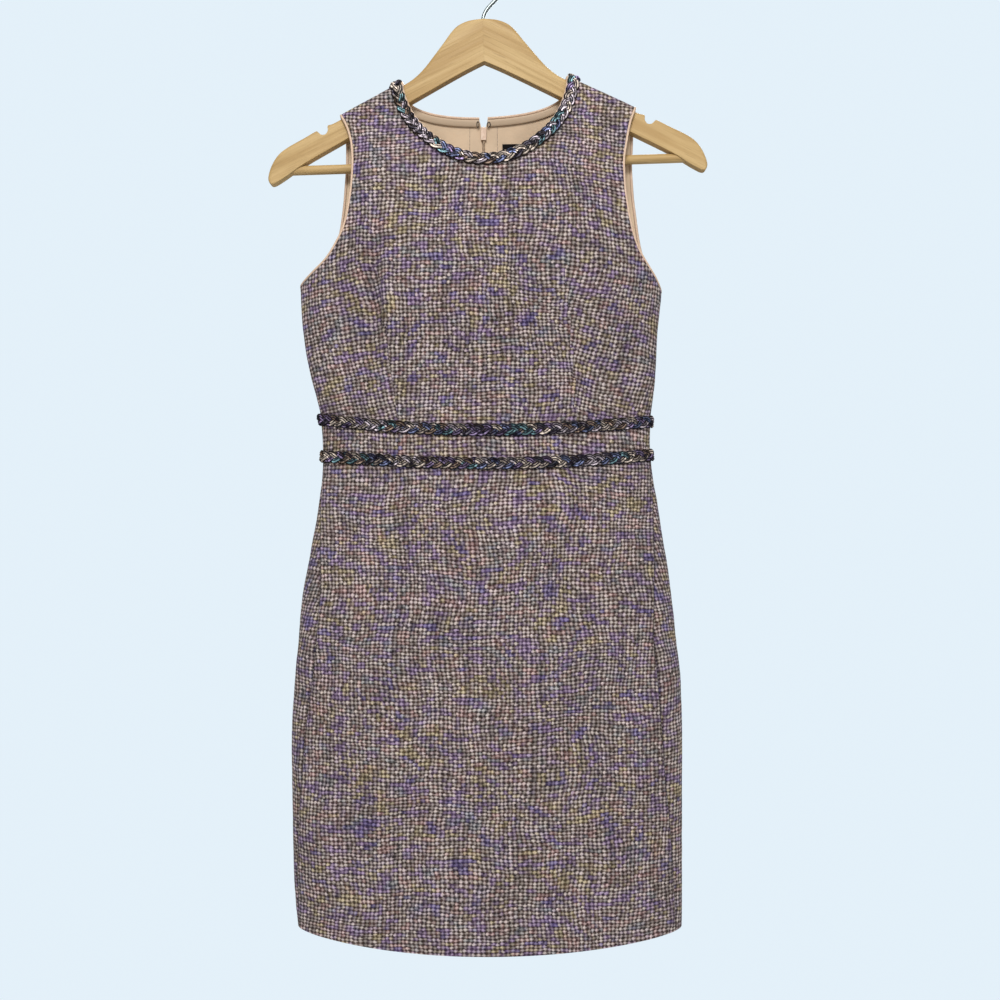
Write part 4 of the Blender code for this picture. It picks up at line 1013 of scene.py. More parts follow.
def plait(name, cells, offset_at, material, seed, nodes, lightness=1.0):
    """A plait of three strands of yarns beside a line of places; offset_at gives how far."""
    dice = random.Random(seed)
    stations = stations_along(cells, offset_at)
    verts = []
    faces = []
    colours = []
    for strand in range(3):
        dyes = dyed_stretches(dice, stations[-1][0])
        for where, height, thick, bright in YARNS:
            phase = dice.uniform(0, 10)
            dark = dice.choice(DARK_YARNS)
            line = yarn_line(stations, strand, phase, where, height)
            tints = yarn_tints(dice, line, phase, dyes, bright * lightness, dark)
            faces += ring_faces(len(verts), len(line), YARN_SIDES)
            for k, (spot, out, length) in enumerate(line):
                before, after = beside(line, k)
                heading = after[0] - before[0]
                side = heading.cross(out).normalized()
                up = side.cross(heading).normalized()
                radius = YARN_RADIUS * thick * (YARN_END if k in (0, len(line) - 1) else 1.0)
                radius *= 1 + YARN_SWELL[0] * math.sin(length * YARN_SWELL[1] + phase)
                verts += ring(spot, side, up, radius, YARN_SIDES)
                colours += tints[k] * YARN_SIDES
    made = mesh_piece(name, verts, faces, material, angle=80)
    tint = made.data.color_attributes.new("yarn", "FLOAT_COLOR", "POINT")
    tint.data.foreach_set("color", colours)
    return settle(made, "braid", *nodes)


def round_cells(line, count=130):
    """Places along a round seam, from one side of the zip round the front to the other."""
    cells = []
    for side in (-1, 1):
        centre = back_edge(side, seam_drop(line, math.pi), SEAM)
        back = side_seam(side, "back", seam_drop(line, side * RIGHT_ANGLE), 0.0)
        cells.append([(turn, seam_drop(line, turn)) for turn in spread(centre, back, count)])
    front = [side_seam(side, "front", seam_drop(line, side * RIGHT_ANGLE), 0.0) for side in (-1, 1)]
    middle = [(turn, seam_drop(line, turn)) for turn in spread(*front, 2 * count)]
    return cells[0] + middle + cells[1][::-1]


def neck_cells(offset, count=130):
    """Places along the neck's edge, from one side of the zip round the front to the other."""
    backs = []
    for side in (-1, 1):
        angles = spread(back_neck_angle(side, offset), neck_angle(side, 0.0), count)
        backs.append([neck_turn("back", angle) for angle in angles])
    front = [neck_turn("front", angle) for angle in spread(math.pi, 0.0, 2 * count)]
    return backs[0] + front + backs[1][::-1]


def neck_offset(turn):
    """How far the neck's plait lies outside the edge; at the bottom it covers the binding."""
    low = smooth_step((1.0 - abs(turn) / RIGHT_ANGLE) * 1.6)
    return BINDING_WIDTH * low - (BRAID_WIDTH / 2 + SEAM)


def make_braids(material):
    for seed, line in enumerate(("upper_waist", "lower_waist")):
        nodes = [f"braid_{line}_{label}" for label in LABELS]
        plait(f"plait_{line}", round_cells(line), lambda turn: 0.0, material, 11 + seed, nodes)
    nodes = [f"braid_neck_{label}" for label in LABELS]
    plait("plait_neck", neck_cells(SEAM + ZIP_OPEN_HALF), neck_offset, material, 31, nodes, 1.8)


# ------------------------------------------------------------------ edges, lining, zip, label
BINDING_PROUD = 0.25
BINDING_SECTION = 14       # points round a binding
NECK_FACING = 7.4          # width of the rolled facing inside the back neck
FACING_HALF_DEEP = 1.1
STRIP_CUT = 10.2           # width of the strips that the bindings and facing are cut from
SQUARED = 0.75             # a binding's section: 1 is round, less is squarer


def rolled(name, cells, opening, material, half, shift, closed=False):
    """A folded strip along an edge: half its width and depth, and its shift aside and under."""
    points = [place(*cell) / MM for cell in cells]
    count = len(cells)
    verts = []
    length = 0.0
    for k, cell in enumerate(cells):
        before, after = beside(points, k, closed)
        length += (after - points[k]).length
        out = normal(*cell)
        away = (after - before).cross(out).normalized()
        if away.dot(opening / MM - points[k]) < 0:
            away = -away
        middle = points[k] + away * shift[0] - out * shift[1]
        for step in range(BINDING_SECTION):
            turn = ROUND * step / BINDING_SECTION
            wide, deep = [math.copysign(abs(value) ** SQUARED, value) * reach
                          for value, reach in zip((math.cos(turn), math.sin(turn)), half)]
            verts.append((middle + away * wide + out * deep) * MM)
    faces = ring_faces(0, count, BINDING_SECTION, closed)
    made = mesh_piece(name, verts, faces, material, angle=70)
    surface = sum(polygon.area for polygon in made.data.polygons)
    made["cut"] = (length * MM, STRIP_CUT * MM)
    made["cut_area"] = min(surface / 2, 0.99 * length * STRIP_CUT * MM * MM)
    return made


def bind(name, cells, opening, material, nodes, closed=False):
    """The rounded binding of an edge, on the side of the opening's middle."""
    wide = BINDING_WIDTH / 2 + SEAM
    deep = INSIDE / 2
    made = rolled(name, cells, opening, material, (wide, deep + BINDING_PROUD), (wide, deep), closed)
    settle(made, "lining", *nodes)


def armhole_edge(side, face):
    """The armhole's edge from the underarm to the shoulder tip."""
    return under_row(side, face) + upper_side(side, face)[1:] + armhole_upper(side, face)[1:]


def neck_edge_front():
    """The front neck's edge, from the left shoulder to the right one."""
    left = neck_upper(-1, "front")[::-1]
    return left + neck_bottom_front()[1:-1] + neck_upper(1, "front")


def neck_edge_back(side):
    """The back neck's edge, from beside the zip to the shoulder."""
    return back_neck_start(side) + neck_bottom_back(side)[1:] + neck_upper(side, "back")[1:]


def make_bindings(material):
    cells = neck_edge_back(-1) + neck_edge_front() + neck_edge_back(1)[::-1]
    nodes = [f"binding_neck_{label}" for label in LABELS]
    bind("bound_neck", cells, NECK_MIDDLE, material, nodes)
    for side, label in SIDES:
        cells = armhole_edge(side, "front") + armhole_edge(side, "back")[::-1]
        opening = Vector((DRESS_X + side * ARMHOLE_MIDDLE[0], 0.0, -ARMHOLE_MIDDLE[1])) * MM
        bind(f"bound_armhole_{label}", cells, opening, material, [f"binding_armhole_{label}"], True)


def bodice(names, slot, depths, material, to_seam, relief=None):
    """A front and two backs of the bodice; names are those of the piece and of its solid."""
    for side, label in zip((0, -1, 1), LABELS):
        if side:
            patches = back_patches(side, to_seam)
            bound = neck_edge_back(side) + armhole_edge(side, "back")
        else:
            patches = front_patches()
            bound = neck_edge_front() + armhole_edge(-1, "front") + armhole_edge(1, "front")
        darts = relief is not None and not side
        made = shell(f"{names[0]}_{label}", patches, depths, material, bound, relief, darts)
        settle(made, slot, f"{names[1]}_{label}")


def make_lining(material):
    bodice(("lining_shell", "lining"), "lining", (UNDER_TWEED, INSIDE), material, False)


def make_neck_facing(material):
    """The rolled facing along the inside of the back neck; its darker satin is painted shade."""
    half = (NECK_FACING / 2, FACING_HALF_DEEP)
    shift = (-NECK_FACING / 2, INSIDE + FACING_HALF_DEEP)
    for side, label in zip((-1, 1), LABELS[1:]):
        edge = neck_edge_back(side)[:-len(OVER_TURNS)]
        made = rolled(f"neck_facing_{label}", edge, NECK_MIDDLE, material, half, shift)
        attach(made, BODY_NAME)


# ------------------------------------------------------------------ zip, label, fastener
def strip_cells(side, near, far, drops, columns):
    """A grid of places on the back between two offsets from the zip's line."""
    grid = []
    for drop in drops:
        start = max(near, zip_opening(drop) + SEAM)
        xs = [BACK_SEAM_X + side * offset for offset in spread(start, far, columns)]
        grid.append([(turn_at(x, drop, piece_of(side, "back")), drop) for x in xs])
    return grid


TAPE_GRID = (6, 110)       # columns and rows
WORN_EDGE = 0.35           # rounding of the slider's and the pull's edges


def make_zip(tape_material, enamel):
    drops = spread(ZIP_DROP, neck_place("back", RIGHT_ANGLE)[1] + SEAM, TAPE_GRID[1])
    for side, label in SIDES:
        grid = strip_cells(side, TAPE_GAP_HALF, TAPE_GAP_HALF + TAPE_WIDTH, drops, TAPE_GRID[0])
        made = shell(f"tape_{label}", [grid], (UNDER_TWEED, INSIDE), tape_material)
        settle(made, "zip_tape", f"zip_tape_{label}")
    make_coil(tape_material)
    for name in ("zip_slider", "zip_pull"):
        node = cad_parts[name]
        node.data.materials.clear()
        node.data.materials.append(enamel)
        rounding = node.modifiers.new("worn_edges", "BEVEL")
        rounding.width = WORN_EDGE * MM
        rounding.segments = 2
        rounding.angle_limit = math.radians(35)


COIL_PITCH = 1.25
COIL_WIRE = 0.30
COIL_HALF = (1.25, 0.62)   # half the coil's width and thickness
COIL_STEPS = 9             # points of a turn
COIL_DEEP = INSIDE + 1.6
COIL_SHORT = 3.0           # from the coil's foot to the tapes' foot


def make_coil(material):
    """The closed coil under the slider, as one flattened helix."""
    top = SLIDER_FOOT_DROP + SEAM
    length = ZIP_DROP - COIL_SHORT - top
    count = int(length / COIL_PITCH) * COIL_STEPS
    outs = {}
    spots = []
    for k in range(count + 1):
        drop = top + length * k / count
        cell = (turn_at(BACK_SEAM_X, drop, "back_right"), drop)
        if round(drop) not in outs:
            outs[round(drop)] = normal(*cell)
        out = outs[round(drop)]
        turn = ROUND * k / COIL_STEPS
        spot = place(*cell) / MM - out * (COIL_DEEP + COIL_HALF[1] * math.sin(turn))
        spots.append(spot + Vector((COIL_HALF[0] * math.cos(turn), 0.0, 0.0)))
    verts = []
    for k, spot in enumerate(spots):
        before, after = beside(spots, k)
        heading = (after - before).normalized()
        side = heading.orthogonal().normalized()
        verts += ring(spot, side, heading.cross(side), COIL_WIRE, 4)
    made = mesh_piece("coil", verts, ring_faces(0, count + 1, 4), material, angle=80)
    settle(made, "zip_tape", "zip_coil")


def make_label(material):
    drops = spread(LABEL_DROP + LABEL_HEIGHT, LABEL_DROP, LABEL_GRID[1])
    near = LABEL_X - BACK_SEAM_X
    grid = strip_cells(1, near, near + LABEL_WIDTH, drops, LABEL_GRID[0])
    edge = [cell for row in grid for cell in row]
    made = shell("label_cloth", [grid], (LABEL_DEEP, LABEL_DEEP + LABEL_THICK), material, edge)
    settle(made, "label", "neck_label")


FASTENER_WIRE = 0.45       # radius of the hook's and eye's wire
FASTENER_DROP = 4.6        # from the neck's edge to the loops' middle
FASTENERS = [
    # side, name, half width, half height, how far past the opening's edge
    (-1, "hook", 1.1, 3.0, 1.9),
    (1, "eye", 1.7, 2.4, 1.5),
]
FASTENER_RINGS = (24, 8)   # rings round a loop, and points in each


def make_fastener(material):
    """A small hook and its eye, sewn inside the neck on each side of the zip's top."""
    rings, sides = FASTENER_RINGS
    middle_drop = neck_place("back", RIGHT_ANGLE)[1] + FASTENER_DROP
    deep = INSIDE + 2 * FACING_HALF_DEEP + FASTENER_WIRE
    for side, label, wide, tall, past in FASTENERS:
        verts = []
        for turn in spread(0.0, ROUND, rings)[1:]:
            cells = []
            for reach in (1.0, 1.02):
                offset = ZIP_OPEN_HALF + past + wide * reach * math.cos(turn)
                drop = middle_drop + tall * reach * math.sin(turn)
                cells.append((back_edge(side, drop, offset), drop))
            here, beyond = [place(*cell) for cell in cells]
            out = normal(*cells[0])
            away = (beyond - here).normalized()
            verts += ring(here / MM - out * deep, away, out, FASTENER_WIRE, sides)
        faces = ring_faces(0, rings, sides, closed=True)
        made = mesh_piece(f"neck_{label}", verts, faces, material)
        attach(made, BODY_NAME)


# ------------------------------------------------------------------ the tweed
def dress_panels(material):
    """The nine tweed pieces, each a shell over its own solid."""
    bodice(("tweed_bodice", "bodice"), "tweed", (0.0, TWEED), material, True, rough)
    round_pieces("waistband", lambda side, face, drop: side_seam(side, face, drop, 0.0),
                 BAND_ROWS, ("upper_waist", "lower_waist"), material)
    round_pieces("skirt", skirt_side, SKIRT_ROWS, ("lower_waist", "hem"), material)


def band_grid(start_of, end_of, columns, rows, lines):
    """A grid between two round seams; start_of and end_of give its edges' turns."""
    grid = []
    for share in spread(1.0, 0.0, rows):
        row = []
        for u in spread(0.0, 1.0, columns):
            turn = 0.0
            drop = 0.0
            for _ in range(3):
                turn = start_of(drop) * (1 - u) + end_of(drop) * u
                top = seam_drop(lines[0], turn) + SEAM / 2
                foot = seam_drop(lines[1], turn)
                foot -= 0.0 if lines[1] == "hem" else SEAM / 2
                drop = top + (foot - top) * share
            row.append((turn, drop))
        grid.append(row)
    return grid


def round_pieces(name, edge_of, rows, lines, material):
    """A front and two backs between two round seams."""
    sides = [("front", FRONT_COLUMNS + 8, lambda drop: edge_of(-1, "front", drop),
              lambda drop: edge_of(1, "front", drop))]
    for side in (-1, 1):
        sides.append((piece_of(side, "back"), BACK_COLUMNS + 8,
                      lambda drop, side=side: back_edge(side, drop),
                      lambda drop, side=side: edge_of(side, "back", drop)))
    for label, columns, start_of, end_of in sides:
        grid = band_grid(start_of, end_of, columns, rows, lines)
        hem = grid[0] if lines[1] == "hem" else []
        made = shell(f"tweed_{name}_{label}", [grid], (0.0, TWEED), material, hem, rough)
        settle(made, "tweed", f"{name}_{label}")


# ------------------------------------------------------------------ materials
class Web:
    """The nodes of a material or of the world; an input is a value or another's output."""

    def __init__(self, owner, shader="Principled BSDF"):
        owner.use_nodes = True
        self.owner = owner
        self.tree = owner.node_tree
        self.shader = self.tree.nodes[shader]

    def put(self, socket, value):
        if isinstance(value, bpy.types.NodeSocket):
            self.tree.links.new(value, socket)
        else:
            socket.default_value = (*value, 1.0) if socket.type == "RGBA" else value

    def node(self, kind, inputs=(), **settings):
        made = self.tree.nodes.new("ShaderNode" + kind)
        for name, value in settings.items():
            setattr(made, name, value)
        for key, value in dict(inputs).items():
            self.put(made.inputs[key], value)
        return made

    def out(self, output, kind, inputs=(), **settings):
        return self.node(kind, inputs, **settings).outputs[output]

    def add(self, a, b):
        return self.out(0, "Math", {0: a, 1: b}, operation="ADD")

    def times(self, a, b):
        return self.out(0, "Math", {0: a, 1: b}, operation="MULTIPLY")

    def vector(self, operation, a, b=(0.0, 0.0, 0.0)):
        return self.out("Vector", "VectorMath", {0: a, 1: b}, operation=operation)

    def scaled(self, vector, factors):
        return self.vector("MULTIPLY", vector, factors)

    def centred(self, vector, middle=(0.5, 0.5, 0.5)):
        return self.vector("SUBTRACT", vector, middle)

    def split(self, vector):
        return self.node("SeparateXYZ", {0: vector}).outputs

    def joined(self, *values):
        return self.out(0, "CombineXYZ", dict(enumerate(values)))

    def noise(self, vector, scale, detail=2.0, roughness=0.5, output="Fac"):
        inputs = {"Vector": vector, "Scale": scale, "Detail": detail, "Roughness": roughness}
        return self.out(output, "TexNoise", inputs)

    def chance(self, vector):
        return self.node("TexWhiteNoise", {"Vector": vector}, noise_dimensions="2D").outputs

    def weave(self, scale, distortion):
        inputs = {"Vector": self.uv(), "Scale": scale, "Distortion": distortion}
        return self.out("Fac", "TexWave", inputs, bands_direction="Y")

    def step(self, value, low, high, to_low=0.0, to_high=1.0, kind="SMOOTHSTEP"):
        inputs = {"Value": value, "From Min": low, "From Max": high, "To Min": to_low,
                  "To Max": to_high}
        return self.out("Result", "MapRange", inputs, interpolation_type=kind)

    def line(self, value, low, high, to_low, to_high):
        return self.step(value, low, high, to_low, to_high, "LINEAR")

    def mix(self, factor, a, b, blend="MIX"):
        inputs = {0: factor, 6: a, 7: b}
        return self.out(2, "Mix", inputs, data_type="RGBA", blend_type=blend)

    def shade(self, colour, amount):
        return self.mix(1.0, colour, self.joined(amount, amount, amount), "MULTIPLY")

    def ramp(self, value, stops):
        made = self.node("ValToRGB", {"Fac": value})
        points = made.color_ramp.elements
        while len(points) < len(stops):
            points.new(0.5)
        for point, (where, colour) in zip(points, stops):
            point.position = where
            point.color = (*colour, 1.0)
        return made.outputs["Color"]

    def bump(self, height, distance, strength=1.0):
        inputs = {"Height": height, "Distance": distance * MM, "Strength": strength}
        return self.out("Normal", "Bump", inputs)

    def attribute(self, name, output):
        return self.out(output, "Attribute", attribute_name=name)

    def uv(self):
        return self.out("UV", "UVMap", uv_map="cloth")

    def place(self):
        return self.out("Object", "TexCoord")

    def finish(self, **inputs):
        for name, value in inputs.items():
            self.put(self.shader.inputs[name.replace("_", " ")], value)
        return self.owner


def new_web(name):
    return Web(bpy.data.materials.new(name))


PATCHES = [
    # noise channel, from, to, most, dot's colour, ground's colour
    ("X", 0.51, 0.63, 0.78, (0.370, 0.265, 0.460), (0.060, 0.033, 0.086)),
    ("X", 0.45, 0.34, 0.62, (0.600, 0.390, 0.370), (0.100, 0.042, 0.040)),
    ("Y", 0.56, 0.67, 0.66, (0.590, 0.500, 0.280), (0.088, 0.066, 0.028)),
    ("Y", 0.42, 0.31, 0.50, (0.330, 0.380, 0.410), (0.036, 0.052, 0.062)),
    ("Z", 0.59, 0.69, 0.78, (0.235, 0.200, 0.410), (0.038, 0.027, 0.094)),
]
CREAMS = [
    # warmth noise, the dots' colour
    (0.30, (0.65, 0.52, 0.53)),
    (0.43, (0.62, 0.53, 0.51)),
    (0.52, (0.58, 0.51, 0.47)),
    (0.60, (0.62, 0.53, 0.51)),
    (0.72, (0.56, 0.49, 0.58)),
]
GROUNDS = [
    # warmth noise, the dark threads' colour
    (0.30, (0.062, 0.032, 0.034)),
    (0.50, (0.054, 0.036, 0.028)),
    (0.70, (0.046, 0.032, 0.044)),
]
DRIFTS = [
    # noise scale, how many threads the rows and columns wander
    (0.045, 4.0),
    (0.15, 0.50),
    (0.50, 0.42),
]
DOT_SHIFT = 0.26           # how far a dot may lie from its middle
SLUB = 3.7                 # sets neighbouring threads far apart in their noise


def tweed_threads(web):
    """Places on the cloth counted in threads, whose rows and columns wander a little."""
    threads = web.scaled(web.uv(), (1 / (WEAVE_ACROSS * MM), 1 / (WEAVE_DOWN * MM), 1.0))
    for scale, amount in DRIFTS:
        drift = web.centred(web.noise(threads, scale, 1.0, output="Color"))
        threads = web.vector("ADD", threads, web.scaled(drift, (amount, amount, 0.0)))
    return threads


def tweed_dot(web, threads, chance):
    """From 0 between the dots to 1 on a dot, each dot a little off its middle."""
    shift = web.scaled(web.centred(chance["Color"]), (DOT_SHIFT, DOT_SHIFT, 0.0))
    inside = web.centred(web.vector("FRACTION", threads), (0.5, 0.5, 0.0))
    inside = web.vector("ADD", inside, shift)
    waves = web.split(web.vector("COSINE", web.scaled(inside, (ROUND, ROUND, 0.0))))
    return web.step(web.add(waves["X"], waves["Y"]), -1.25, 1.95)


def tweed_tone(web, whole, flowing):
    """How bright a thread is along its length: slubs in the rows and in the columns."""
    row = web.joined(web.times(flowing["X"], 0.13), web.times(whole["Y"], SLUB))
    column = web.joined(web.times(whole["X"], SLUB), web.times(flowing["Y"], 0.035), 9.0)
    columns = web.times(web.noise(column, 1.0, 1.0), 1.5)
    return web.line(web.add(web.noise(row, 1.0, 1.0), columns), 0.85, 1.65, 0.70, 1.30)


def tweed_colours(web, threads, whole, flowing):
    """The dots' and the ground's colour, with patches stretched along the rows."""
    drape = web.noise(web.scaled(threads, (0.05, 0.02, 1.0)), 1.0, 1.0)
    lifted = web.add(whole["Y"], web.times(drape, 18.0))
    mixed = web.add(web.times(flowing["X"], 0.5), web.times(whole["X"], 0.5))
    spot = web.joined(web.times(mixed, 0.19), web.times(lifted, 0.33))
    cluster = web.split(web.noise(spot, 1.0, 2.0, 0.62, "Color"))
    warmth = web.noise(spot, 0.55)
    cream = web.ramp(warmth, CREAMS)
    ground = web.ramp(warmth, GROUNDS)
    for channel, low, high, most, dot_colour, ground_colour in PATCHES:
        amount = web.step(cluster[channel], low, high, 0.0, most)
        cream = web.mix(amount, cream, dot_colour)
        ground = web.mix(amount, ground, ground_colour)
    return cream, ground


def tweed_material():
    """Pale dots between dark threads, with patches of violet, blue, teal, gold and rust, and painted
    shade along the seams and darts.
    """
    web = new_web("tweed_weave")
    threads = tweed_threads(web)
    cell = web.vector("FLOOR", threads)
    whole = web.split(cell)
    flowing = web.split(threads)
    chance = web.chance(cell)
    dot = tweed_dot(web, threads, chance)
    tone = tweed_tone(web, whole, flowing)
    speck = web.chance(web.vector("FLOOR", web.scaled(threads, (2.0, 2.0, 1.0))))["Value"]
    bright = web.times(web.line(chance["Value"], 0.0, 1.0, 0.42, 1.10),
                       web.line(speck, 0.0, 1.0, 0.72, 1.22))
    hole = web.line(speck, 0.0, 1.0, 0.35, 1.35)
    cream, ground = tweed_colours(web, threads, whole, flowing)
    colour = web.mix(web.times(web.times(dot, bright), tone),
                     web.shade(ground, web.times(tone, hole)), cream)
    fibres = web.noise(web.uv(), 1500.0, 2.0, 0.65)
    # painted shade: the seam attribute darkens the colour by up to 42% along seams and darts
    seam = web.step(web.attribute("seam", "Fac"), 0.35, 1.0, 1.0, 0.58)
    fuzz_and_seam_shade = web.times(web.line(fibres, 0.3, 0.7, 0.62, 1.38), seam)
    height = web.add(web.times(dot, 0.7), web.times(fibres, 0.5))
    return web.finish(Base_Color=web.shade(colour, fuzz_and_seam_shade), Roughness=0.94,
                      Specular_IOR_Level=0.15, Sheen_Weight=0.08, Normal=web.bump(height, 0.8, 0.9))


def yarn_material():
    """The braid's yarns: the colour is each yarn's own, and the twist is fine relief."""
    web = new_web("braid_yarn")
    fibres = web.noise(web.place(), 2600.0, 2.0, 0.7)
    light = web.line(fibres, 0.35, 0.72, 0.45, 1.9)
    return web.finish(Base_Color=web.shade(web.attribute("yarn", "Color"), light), Roughness=0.8,
                      Specular_IOR_Level=0.05, Normal=web.bump(fibres, 0.25, 0.9))


def satin_material(name, colour, roughness):
    """A smooth lining satin, with a fine weave and faint soft unevenness."""
    web = new_web(name)
    threads = web.weave(900.0, 1.5)
    cloud = web.noise(web.uv(), 26.0, 3.0)
    deep = tuple(value * 0.86 for value in colour)
    mixed = web.mix(web.step(cloud, 0.35, 0.65), deep, colour)
    mixed = web.mix(web.times(threads, 0.10), mixed, deep)
    height = web.add(web.times(threads, 0.3), cloud)
    return web.finish(Base_Color=mixed, Roughness=roughness, Specular_IOR_Level=0.35,
                      Sheen_Weight=0.1, Normal=web.bump(height, 0.25, 0.5))


def label_material():
    web = new_web("label_satin")
    threads = web.weave(1300.0, 0.6)
    colour = web.mix(threads, (0.003, 0.003, 0.003), (0.009, 0.008, 0.009))
    return web.finish(Base_Color=colour, Roughness=0.75, Specular_IOR_Level=0.12,
                      Normal=web.bump(threads, 0.15, 0.5))


def binding_material():
    """Satin on the tubes of the bindings, which have no cloth lengths of their own."""
    web = new_web("binding_satin")
    fine = web.noise(web.place(), 900.0)
    colour = web.mix(web.step(fine, 0.3, 0.7), (0.54, 0.39, 0.28), (0.68, 0.51, 0.385))
    return web.finish(Base_Color=colour, Roughness=0.55, Specular_IOR_Level=0.3,
                      Normal=web.bump(fine, 0.2, 0.5))


def enamel_material():
    web = new_web("slider_enamel")
    wear = web.noise(web.place(), 420.0, 3.0)
    colour = web.mix(web.step(wear, 0.4, 0.6), (0.70, 0.52, 0.40), (0.80, 0.63, 0.50))
    return web.finish(Base_Color=colour, Roughness=web.step(wear, 0.3, 0.7, 0.28, 0.42),
                      Coat_Weight=0.3, Normal=web.bump(wear, 0.05, 0.4))


def wood_material(name, lean, pale, dark):
    """Pale wood whose grain runs along an arm that leans by that angle."""
    web = new_web(name)
    spot = web.out("Vector", "Mapping", {"Vector": web.place(), "Rotation": (0.0, lean, 0.0)})
    bands = web.noise(web.scaled(spot, (6.0, 60.0, 120.0)), 1.0, 3.0, 0.55)
    streaks = web.noise(web.scaled(spot, (14.0, 400.0, 520.0)), 1.0, 4.0, 0.65)
    pores = web.noise(web.scaled(spot, (45.0, 900.0, 1100.0)), 1.0)
    shade = tuple(value * 0.70 for value in dark)
    grain = web.mix(web.step(bands, 0.36, 0.66), pale, dark)
    grain = web.mix(web.step(streaks, 0.50, 0.74, 0.0, 0.50), grain, shade)
    grain = web.mix(web.step(pores, 0.62, 0.72, 0.0, 0.55), grain, shade)
    return web.finish(Base_Color=grain, Roughness=web.step(streaks, 0.3, 0.7, 0.48, 0.60),
                      Specular_IOR_Level=0.3, Normal=web.bump(streaks, 0.12, 0.35))


def metal_material(name, dark, pale):
    web = new_web(name)
    scratches = web.noise(web.place(), 700.0, 3.0)
    return web.finish(Base_Color=web.mix(scratches, dark, pale), Metallic=1.0,
                      Roughness=web.step(scratches, 0.3, 0.7, 0.22, 0.38),
                      Normal=web.bump(scratches, 0.03, 0.3))


# ------------------------------------------------------------------ the hanger
ARM_THICK = 12.0
WIRE = 3.8
HOOK_INNER = 19.0
HOOK_FOOT = 54.6
BAR_RADIUS = 4.7
BAR_DROP = 203.0
BAR_REACH = 207.0
ARM_OUTLINE = [
    # across, drop, rounding
    (-0.03, 55.2, 3.0),
    (14.0, 56.8, 3.0),
    (25.0, 61.2, 3.0),
    (32.6, 68.0, 3.2),
    (40.4, 78.0, 3.6),
    (52.0, 92.4, 4.0),
    (62.0, 104.4, 4.0),
    (73.0, 114.2, 4.0),
    (86.0, 121.8, 4.0),
    (110.0, 133.85, 4.0),
    (135.0, 146.4, 4.0),
    (155.5, 156.7, 4.0),
    (161.2, 159.6, 0.5),
    (161.6, 164.6, 0.7),
    (164.2, 168.2, 0.7),
    (168.4, 168.4, 0.7),
    (171.6, 165.8, 0.6),
    (174.0, 165.4, 0.4),
    (186.0, 171.0, 3.0),
    (202.5, 179.4, 3.6),
    (212.5, 186.6, 3.6),
    (219.6, 196.6, 3.6),
    (223.6, 207.6, 3.2),
    (223.4, 214.2, 2.4),
    (219.2, 217.6, 1.4),
    (208.0, 211.6, 0.7),
    (186.0, 197.4, 0.7),
    (141.5, 173.6, 0.7),
    (77.0, 138.8, 0.7),
    (24.0, 110.8, 0.7),
    (-0.03, 99.4, 0.7),
]
ARM_FINE = 5               # points drawn for each of the outline's
ROUND_STEPS = 6            # loops over a rounded edge


def smooth_outline():
    """The outline with points between, on a curve through the table's rows."""
    rows = ARM_OUTLINE
    fine = []
    for k in range(len(rows) - 1):
        near = [beside(rows, k)[0], rows[k], rows[k + 1], beside(rows, k + 1)[1]]
        for step in range(ARM_FINE):
            share = step / ARM_FINE
            fine.append(tuple(catmull(*values, share) for values in zip(*near)))
    return fine + [rows[-1]]


def catmull(before, here, after, beyond, share):
    """A cubic through here and after, with the slopes of their neighbours."""
    slope = (after - before) / 2
    next_slope = (beyond - here) / 2
    bend = 3 * (after - here) - 2 * slope - next_slope
    twist = 2 * (here - after) + slope + next_slope
    return here + share * (slope + share * (bend + share * twist))


def square_to(line, k):
    """The direction square to a flat line at its place k."""
    before, after = beside(line, k)
    run = Vector((after[0] - before[0], after[1] - before[1])).normalized()
    return Vector((-run.y, run.x))


def make_arm(side, label, material):
    """An arm with rounded edges and two flat faces, which are its mesh's last two."""
    outline = smooth_outline()
    count = len(outline)
    verts = []
    for face in (1, -1):
        for step in spread(0.0, RIGHT_ANGLE, ROUND_STEPS)[::-face]:
            for k, (across, drop, rounding) in enumerate(outline):
                move = square_to(outline, k) * rounding * (1 - math.cos(step))
                if k in (0, count - 1):
                    move.x = 0.0
                x, at_drop = hang(side * (across + move.x), drop + move.y)
                y = face * (ARM_THICK / 2 - rounding * (1 - math.sin(step)))
                verts.append(Vector((x, y, -at_drop)) * MM)
    faces = ring_faces(0, len(verts) // count, count)
    if side > 0:
        faces = [face[::-1] for face in faces]
    made = mesh_piece(f"wood_arm_{label}", verts, faces, material, angle=35)
    for face in list(made.data.polygons)[-2:]:
        face.use_smooth = False
    settle(made, "wood", f"hanger_arm_{label}")


def wire_tube(name, line, radius, material, sides=24):
    """A round bar or wire along a line of (across, drop, share of the radius)."""
    verts = []
    for k, (across, drop, share) in enumerate(line):
        side = square_to(line, k)
        for step in range(sides):
            turn = ROUND * step / sides
            move = side * radius * share * math.cos(turn)
            x, at_drop = hang(across + move.x, drop + move.y)
            verts.append(Vector((x, radius * share * math.sin(turn), -at_drop)) * MM)
    return mesh_piece(name, verts, ring_faces(0, len(line), sides), material, angle=50)


HOOK_SUNK = 1.5            # how far the wire's foot goes into the wood
HOOK_LEAN = Vector((1.4, -12.0))   # how the foot sets off
HOOK_JOIN = math.radians(40)       # where the foot's sweep meets the ring, below the side
HOOK_PULL = 11.0           # how long the sweep keeps the ring's direction
HOOK_END = math.radians(205)       # where the ring stops
HOOK_STEPS = (24, 64)      # points on the sweep and on the ring
TIP_ROUNDING = [(0.5, 0.86), (0.86, 0.5), (0.98, 0.15)]    # along, share of the radius


